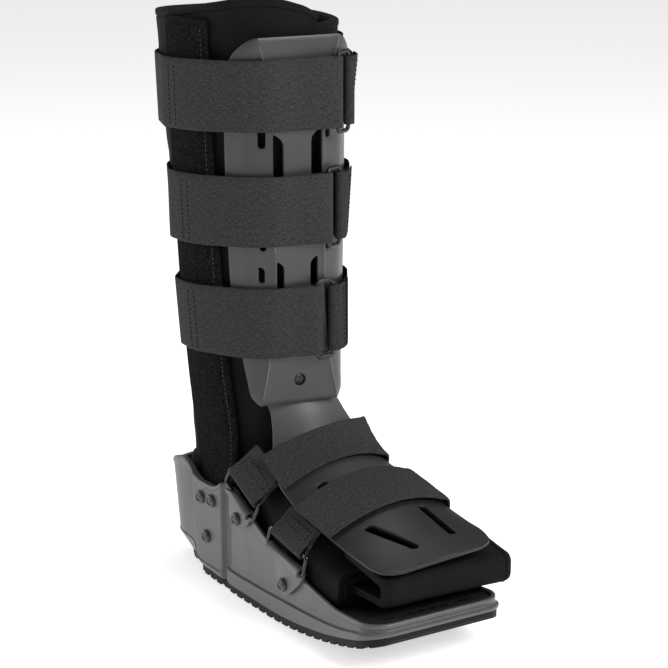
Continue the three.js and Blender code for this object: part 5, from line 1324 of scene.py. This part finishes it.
def room_above(strap, grow):
    """What a foot strap and all above it take up, carried on past its end"""
    marks, past, margin = np.array([0, 0.33, 0.67, 1]), 1.2, 0.01
    low, high = FOOT_STRAP_LIFT - grow, FOOT_STRAP_LIFT + FOOT_STRAP_THICKNESS + ROOM_HEIGHT
    rings = []
    for across in np.linspace(strap["start"] - past, strap["end"], 15):
        ring = []
        for lift, order in ((low, marks), (high, marks[::-1])):
            for share in order:
                front = strap["front"] - margin + strap["front_skew"] * across
                rear = strap["rear"] + margin + strap["rear_skew"] * across
                ring.append(instep_point(lerp(front, rear, share), across * INSTEP_WIDTH, lift))
        rings.append(ring)
    return loft("room", rings)


RIVET_PROFILE = [  # shares of its radius and height: a rim, a groove and a round middle
    (0.01, -0.16), (0.9, -0.16), (0.96, 0), (1, 0.1), (1, 0.34), (0.95, 0.55), (0.84, 0.88), (0.76, 1), (0.66, 1),
    (0.58, 0.85), (0.52, 0.62), (0.46, 0.56), (0.4, 0.62), (0.3, 0.86), (0.16, 0.98), (0.01, 1.0),
]


def rivet(name, node, side, y, z, out):
    r, h = RIVET_DIAMETER / 2, RIVET_HEIGHT
    normal = wall_normal(side, y, z)
    place = wall_point(side, y, z) + normal * out
    dress(lathe(name, [(a * r, b * h) for a, b in RIVET_PROFILE], place, normal, 32), RIVET, node, 40)


def strap_anchor(name, strap):
    """A plate over the strap's end on the far wall"""
    y, end, width = along_foot(strap["at"]), strap["low"] * COUNTER_HEIGHT, strap["width"] * FOOT_LENGTH
    reach = 2 * GAP + 0.1 + FOOT_STRAP_THICKNESS
    w, h = width * 0.4, ANCHOR_HEIGHT * 0.44
    flat = rounded_outline([(-w, -h), (w, -h), (w, h), (-w, h)], 4, 7)
    middle = end + ANCHOR_HEIGHT / 2
    rings = [[wall_point(1, y + a, middle + b, reach + thick) for a, b in flat] for thick in (0, TAB_THICKNESS)]
    obj = loft(name, rings)
    bevel(obj, PLATE_ROUNDING)
    return obj


def room_over_instep():
    """What the instep panel and all above it take up"""
    rings, margin = [], 0.6
    for at in INSTEP_TABLE.x:
        reach = float(INSTEP_TABLE.line(at, "half")) * INSTEP_WIDTH + margin
        marks = np.linspace(-reach, reach, 9)
        over = [instep_point(at, across, ROOM_HEIGHT) for across in marks]
        rings.append(over + [instep_point(at, across, -INSTEP_THICKNESS - margin) for across in marks[::-1]])
    return loft("room", rings)


# Materials
def tone(value, tint=(1, 1, 1)):
    """A grey as it is seen on screen, 0 to 255, as a linear colour"""
    s = value / 255
    v = s / 12.92 if s <= 0.04045 else ((s + 0.055) / 1.055) ** 2.4
    return (v * tint[0], v * tint[1], v * tint[2], 1)


class Look:
    """A material and short ways to build its node tree"""

    def __init__(self, name, rough, **values):
        self.mat = bpy.data.materials.new(name)
        self.mat.use_nodes = True
        self.nodes, self.links = self.mat.node_tree.nodes, self.mat.node_tree.links
        self.shader = self.nodes["Principled BSDF"]
        self.put("Roughness", rough)
        for key, value in values.items():
            self.put(key.replace("_", " "), value)
        self.place = self.nodes.new("ShaderNodeTexCoord").outputs["Object"]

    def put(self, key, value, node=None):
        socket = (node or self.shader).inputs[key]
        if isinstance(value, bpy.types.NodeSocket):
            self.links.new(value, socket)
        else:
            socket.default_value = value

    def maths(self, operation, *values):
        node = self.nodes.new("ShaderNodeMath")
        node.operation = operation
        for i, value in enumerate(values):
            self.put(i, value, node)
        return node.outputs[0]

    def sum(self, a, share_a, b, share_b):
        return self.maths("ADD", self.maths("MULTIPLY", a, share_a), self.maths("MULTIPLY", b, share_b))

    def noise(self, scale, detail, rough, where=None):
        node = self.nodes.new("ShaderNodeTexNoise")
        self.put("Vector", where or self.place, node)
        self.put("Scale", scale, node)
        self.put("Detail", detail, node)
        self.put("Roughness", rough, node)
        return node.outputs[0]

    def cells(self, scale):
        node = self.nodes.new("ShaderNodeTexVoronoi")
        self.put("Vector", self.place, node)
        self.put("Scale", scale, node)
        return node.outputs[0]

    def stretched(self, where, stretch):
        node = self.nodes.new("ShaderNodeVectorMath")
        node.operation = "MULTIPLY"
        self.put(0, where, node)
        self.put(1, stretch, node)
        return node.outputs[0]

    def uv(self):
        node = self.nodes.new("ShaderNodeUVMap")
        node.uv_map = "weave"
        return node.outputs[0]

    def parts(self, vector):
        node = self.nodes.new("ShaderNodeSeparateXYZ")
        self.links.new(vector, node.inputs[0])
        return node.outputs[0], node.outputs[1], node.outputs[2]

    def ramp(self, value, low, high):
        node = self.nodes.new("ShaderNodeMapRange")
        self.put(0, value, node)
        self.put(1, low, node)
        self.put(2, high, node)
        return node.outputs[0]

    def mix(self, factor, a, b):
        node = self.nodes.new("ShaderNodeMix")
        node.data_type = "RGBA"
        self.put(0, factor, node)
        self.put(6, a, node)
        self.put(7, b, node)
        return node.outputs[2]

    def shade(self, value, low, high, dark, light):
        """The base colour, from dark to light as a value goes from low to high"""
        self.put("Base Color", self.mix(self.ramp(value, low, high), dark, light))

    def bump(self, height, depth, normal=None):
        """Bumps of a depth in millimetres"""
        node = self.nodes.new("ShaderNodeBump")
        self.put("Distance", depth / 1000, node)
        self.put("Height", height, node)
        if normal is not None:
            self.put("Normal", normal, node)
        self.put("Normal", node.outputs[0])
        return node.outputs[0]


def grain(look, depth=0.02):
    look.bump(look.noise(1500, 2, 0.6), depth)


def plastic(name, value, rough, depth=0.02):
    """Moulded plastic of a grey that varies a little, with fine grain"""
    look = Look(name, rough)
    spread, tint = 0.06, (1, 1, 1.02)
    look.shade(look.noise(28, 3, 0.6), 0.3, 0.7, tone(value * (1 - spread), tint), tone(value * (1 + spread), tint))
    look.put("Roughness", look.maths("ADD", look.maths("MULTIPLY", look.noise(90, 4, 0.6), 0.16), rough - 0.08))
    grain(look, depth)
    return look.mat


WARP_PITCH, WEFT_PITCH = 1.5, 1.15


def webbing():
    """Heather webbing: flecks along and across it, and a fine weave in its own coordinates"""
    look = Look("strap_weave", 0.9, Specular_IOR_Level=0.12)
    u, v, _ = look.parts(look.uv())
    fine = lambda axis, pitch: look.maths("SINE", look.maths("MULTIPLY", axis, 2 * math.pi / (pitch / 1000)))
    grid = look.maths("MULTIPLY", fine(u, WARP_PITCH), fine(v, WEFT_PITCH))
    across = look.noise(1.0, 2, 0.7, look.stretched(look.uv(), (1700, 420, 1)))
    along = look.noise(1.0, 3, 0.7, look.stretched(look.uv(), (260, 1500, 1)))
    flecks = look.sum(across, 0.5, along, 0.5)
    look.shade(look.maths("ADD", flecks, look.maths("MULTIPLY", grid, 0.13)), 0.34, 0.66, tone(24), tone(76))
    soft = look.bump(look.noise(55, 2, 0.5), 0.35)
    look.bump(look.maths("ADD", grid, look.maths("MULTIPLY", flecks, 0.8)), 0.16, soft)
    return look.mat


def neoprene():
    """Black knit over foam: wide soft unevenness and small stitches"""
    look = Look("liner_knit", 0.85, Specular_IOR_Level=0.12)
    wide = look.ramp(look.noise(45, 4, 0.6), 0.3, 0.75)
    knit = look.cells(1150)
    speck = look.ramp(knit, 0.1, 0.75)
    base = look.mix(wide, tone(10, (0.96, 1, 1.14)), tone(20, (0.97, 1, 1.1)))
    look.put("Base Color", look.mix(look.maths("MULTIPLY", speck, 0.4), base, tone(34)))
    soft = look.bump(look.noise(70, 3, 0.55), 0.9)
    look.bump(knit, 0.14, soft)
    return look.mat


def fuzz():
    look = Look("hook_fuzz", 0.95, Specular_IOR_Level=0.05)
    both = look.sum(look.noise(1700, 3, 0.8), 0.78, look.noise(420, 3, 0.65), 0.22)
    look.shade(both, 0.46, 0.7, tone(5), tone(60))
    look.bump(both, 1.1, look.bump(look.noise(120, 3, 0.6), 0.7))
    return look.mat


def speckled(name, scale, dark, light, rough, specular, depth):
    """Cloth or foam with specks from dark to light"""
    look = Look(name, rough, Specular_IOR_Level=specular)
    small = look.noise(scale, 3, 0.7)
    look.shade(small, 0.35, 0.65, tone(dark), tone(light))
    look.bump(small, depth)
    return look.mat


def cloth(name, value, pitch=1.0):
    return speckled(name, 1000 / pitch, value * 0.7, value * 1.35, 0.85, 0.12, 0.18)


def rubber():
    look = Look("sole_rubber", 0.62, Specular_IOR_Level=0.2)
    look.put("Base Color", tone(20))
    look.bump(look.noise(900, 3, 0.6), 0.05)
    return look.mat


def instep_plastic():
    """Darker over the toes than at the ankle: painted highlight towards the ankle and painted shade over the toes"""
    look = Look("instep_plastic", 0.42, Specular_IOR_Level=0.35)
    # Painted light: the base colour goes from dark to light with height
    look.shade(look.parts(look.place)[2], 0.088, 0.15, tone(32), tone(90))
    grain(look)
    return look.mat


SHELL = plastic("shell_plastic", 82, 0.4)
PANEL = plastic("panel_plastic", 57, 0.38)
LOOP = plastic("loop_plastic", 24, 0.34)
# A light plastic for the rods on the panel's creases: painted highlight
CREASE_HIGHLIGHT_LOOK = plastic("crease_highlight_plastic", 96, 0.35)
RIVET = plastic("rivet_plastic", 70, 0.34)
WIRE_LOOK = plastic("wire_coat", 14, 0.16, 0.004)
STRAP, LINER, FUZZ, RUBBER = webbing(), neoprene(), fuzz(), rubber()
FOAM = speckled("insole_foam", 1500, 20, 44, 0.92, 0.08, 0.35)
WRAP, THREAD, DARK_THREAD = cloth("wrap_cloth", 44), cloth("pale_thread", 70, 0.4), cloth("dark_thread", 10, 0.4)


# Putting the boot together
def lay_stitches(name, lines, mat):
    dress(stitches(name, lines), mat, angle=60)


def dress_padded(obj, mat, node, angle):
    dress(obj, mat, node, angle)


dress(base_shell(), SHELL, "base_shell", 24)
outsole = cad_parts["outsole"]
outsole.data.materials.clear()
outsole.data.materials.append(RUBBER)
bevel(outsole, 0.5, 2, 35)

insole = pad("insole_pad", WALL + INSOLE_GAP, lambda y: floor_top(y) + FLOOR_CLEARANCE, insole_top, 1.4)
dress_padded(insole, FOAM, "insole", 50)
dress_padded(liner_calf(), LINER, "liner_calf", 70)
dress_padded(liner_foot(), LINER, "liner_foot", 70)
fold, fold_rings, fold_count = toe_flap()
dress_padded(fold, LINER, "toe_flap", 60)


def fold_line(share, lift=0.15):
    """A line over the folded toe end, at a place across it, with its normals"""
    i = int(np.argmin(np.abs(fold_rings[:, 0, 0] - (FLAP_SHIFT + share * FLAP_WIDTH / 2))))
    line = fold_rings[i][2:fold_count]
    n = unit(np.cross(np.gradient(line, axis=0), [1, 0, 0]))
    if n[len(n) // 2, 1] > 0:
        n = -n
    return line + n * lift, n


FOLD_SEAMS = (-0.952, -0.915, 0.845, 0.875)
lay_stitches("fold_stitches", [fold_line(share) for share in FOLD_SEAMS], DARK_THREAD)

for side, label, top in ((-1, "right", STAY_TOP), (1, "left", STAY_TOP_FAR)):
    cover, rings = stay_cover(f"upright_cover_{label}", top, side)
    dress(cover, FUZZ, f"stay_cover_{label}", 60)
    for k, thread, edge in ((2, THREAD, "front"), (20, DARK_THREAD, "rear")):
        line = np.array([ring[k] for ring in rings[2:-2]]) + [side * 0.1, 0, 0]
        rows = [(line, np.array([[side, 0, 0]] * len(line)))]
        lay_stitches(f"cover_stitches_{label}_{edge}", rows, thread)

dress(tibial_panel(), PANEL, "tibial_panel", 30)
dress(instep_panel(), instep_plastic(), "instep_panel", 30)
# The light rods on the creases are painted highlights
dress(crease_highlights(), CREASE_HIGHLIGHT_LOOK, angle=60)
dress(panel_peg(), LOOP, "panel_peg", 30)

BAND_SEAMS, TAB_SEAMS = (10, 16), (7.4, 9.8)  # from the strap's end, and from the tab's turn round the bar
WRAP_BEFORE, WRAP_PAST, TAB_REACH = 6, 11, 26  # how far the plain cloth goes on the tab; its end in degrees


def calf_strap(number, strap):
    """One calf strap with its loop and the fuzzy tab that holds the loop"""
    band, info = ribbon(f"calf_band_{number}", strap, 1, BAND_END, strap["end"], STRAP_WIDTH, STRAP_THICKNESS)
    dress(band, STRAP, f"calf_strap_{number}", 60)
    last = len(info["along"]) - 1
    lines = [line_across(info, step_at(info, -d, last)) for d in BAND_SEAMS]
    lay_stitches(f"band_stitches_{number}", lines, DARK_THREAD)
    start, end = strap["tail"], strap["ring"] - TAB_REACH
    tab, info = ribbon(f"loop_tab_{number}", strap, -1, start, end, STRAP_WIDTH - 2, STRAP_THICKNESS)
    first, past = info["turn"]
    along = info["along"]
    dress(tab, [FUZZ, WRAP], f"ring_tab_{number}", 60)
    for poly in tab.data.polygons:
        if len(poly.vertices) == 4:
            at = along[poly.index // (2 * len(LEVELS))]
            poly.material_index = 1 if along[first] - WRAP_BEFORE < at < along[past - 1] + WRAP_PAST else 0
    lines = [line_across(info, step_at(info, d, past - 1)) for d in TAB_SEAMS]
    lay_stitches(f"tab_stitches_{number}", lines, DARK_THREAD)
    dress(calf_ring(f"calf_loop_{number}", strap), LOOP, f"calf_ring_{number}", 50)


def foot_strap_set(number, strap, ring, corners):
    """One foot strap with its sewn end, wire ring, tab and anchor"""
    dress(foot_strap(f"foot_band_{number}", strap), STRAP, f"foot_strap_{number}", 60)
    end, (top, rise, out, along, length, width, narrow) = strap_end(f"foot_band_end_{number}", ring)
    boolean(end, room_above(strap, GAP + 0.2), "DIFFERENCE")
    boolean(end, room_over_instep(), "DIFFERENCE")
    bevel(end, 0.3, 2, 50)
    dress(end, STRAP, f"foot_strap_end_{number}", 50)
    spot = lambda r, a: top + rise * r + along * a + out * (narrow + 0.12)
    a, r0, r1 = width / 2 - 3.5, 9.5, length - 9
    box = [(r0, -a), (r1, -a), (r1, a), (r0, a), (r0, -a)]
    path = np.vstack([np.linspace(spot(*p), spot(*q), 12) for p, q in zip(box, box[1:])])
    lay_stitches(f"end_stitches_{number}", [(path, np.array([out] * len(path)))], DARK_THREAD)
    dress(wire_ring(f"wire_loop_{number}", ring), WIRE_LOOK, f"wire_ring_{number}", 60)
    dress(wire_tab(f"wire_holder_{number}", ring, corners), SHELL, f"wire_tab_{number}", 30)
    dress(strap_anchor(f"anchor_plate_{number}", strap), SHELL, f"strap_anchor_{number}", 30)
    reach = TAB_GAP + TAB_THICKNESS + 0.3
    rivet(f"holder_rivet_{number}", f"tab_rivet_{number}", -1, *on_wall(ring["rivet"]), reach)
    y, z = along_foot(strap["at"]), strap["low"] * COUNTER_HEIGHT + ANCHOR_HEIGHT / 2
    reach = 3 * GAP + FOOT_STRAP_THICKNESS + TAB_THICKNESS
    rivet(f"plate_rivet_{number}", f"anchor_rivet_{number}", 1, y, z, reach)


for k, strap in enumerate(STRAPS):
    calf_strap(k + 1, strap)
for k, (strap, ring) in enumerate(zip(FOOT_STRAPS, WIRE_RINGS)):
    foot_strap_set(k + 1, strap, ring, TAB_OUTLINES[k])

BAND_RIVETS = [(0.7754, 0.71), (0.7226, 0.726), (0.7518, 0.38)]  # shares of the foot's length, the counter's height
for k, place in enumerate(BAND_RIVETS):
    for side, label in ((-1, "right"), (1, "left")):
        rivet(f"upright_rivet_{label}_{k + 1}", f"band_rivet_{label}_{k + 1}", side, *on_wall(place), GAP)


# Floor, light and camera
FLOOR_HALF, FLOOR_Z = 30, -0.0006  # metres
square = ((-1, -1), (1, -1), (1, 1), (-1, 1))
mesh = bpy.data.meshes.new("floor")
mesh.from_pydata([(x * FLOOR_HALF, y * FLOOR_HALF, FLOOR_Z) for x, y in square], [], [(0, 1, 2, 3)])
floor = bpy.data.objects.new("floor", mesh)
bpy.context.scene.collection.objects.link(floor)
white = Look("floor_white", 0.9, Specular_IOR_Level=0.1)
white.put("Base Color", (0.9, 0.9, 0.9, 1))
white.put("Emission Color", (1, 1, 1, 1))
white.put("Emission Strength", 0.6)
floor.data.materials.append(white.mat)

world = bpy.data.worlds.new("pale_sky")
world.use_nodes = True
sky = world.node_tree.nodes["Background"]
sky.inputs["Color"].default_value = (1, 1, 1, 1)
sky.inputs["Strength"].default_value = 0.22
bpy.context.scene.world = world
bpy.context.scene.view_settings.view_transform = "Standard"

TURN, RISE, DISTANCE = math.radians(33.61), math.radians(14.96), 1677.4
back = np.array([-math.sin(TURN) * math.cos(RISE), -math.cos(TURN) * math.cos(RISE), math.sin(RISE)])
right = unit(np.cross([0, 0, 1], back))
above = np.cross(back, right)


def aim(obj, place, target):
    """Puts an object at a place in millimetres and turns it to look at a target"""
    obj.location = Vector(metres(place))
    obj.rotation_euler = Vector(metres(place) - metres(target)).to_track_quat("Z", "Y").to_euler()
    bpy.context.scene.collection.objects.link(obj)


def area_light(name, size, power, place, target=(0, 0, 200)):
    light = bpy.data.lights.new(name, "AREA")
    light.shape = "DISK"
    light.size = size
    light.energy = power
    aim(bpy.data.objects.new(name, light), np.array(place, float), np.array(target, float))


centre = np.array([13.38, 0, 197.3])
area_light("left", 1.5, 17, centre - back * 300 - right * 1900 + above * 500)
area_light("front", 1.2, 32, centre + back * 1300 + right * 1300 + above * 900)
area_light("top", 1.4, 12, centre + above * 2000)

camera = bpy.data.objects.new("camera", bpy.data.cameras.new("camera"))
camera.data.lens = 125.757
camera.data.sensor_width = 36
camera.data.clip_end = 100
aim(camera, centre + back * DISTANCE, centre)
bpy.context.scene.camera = camera
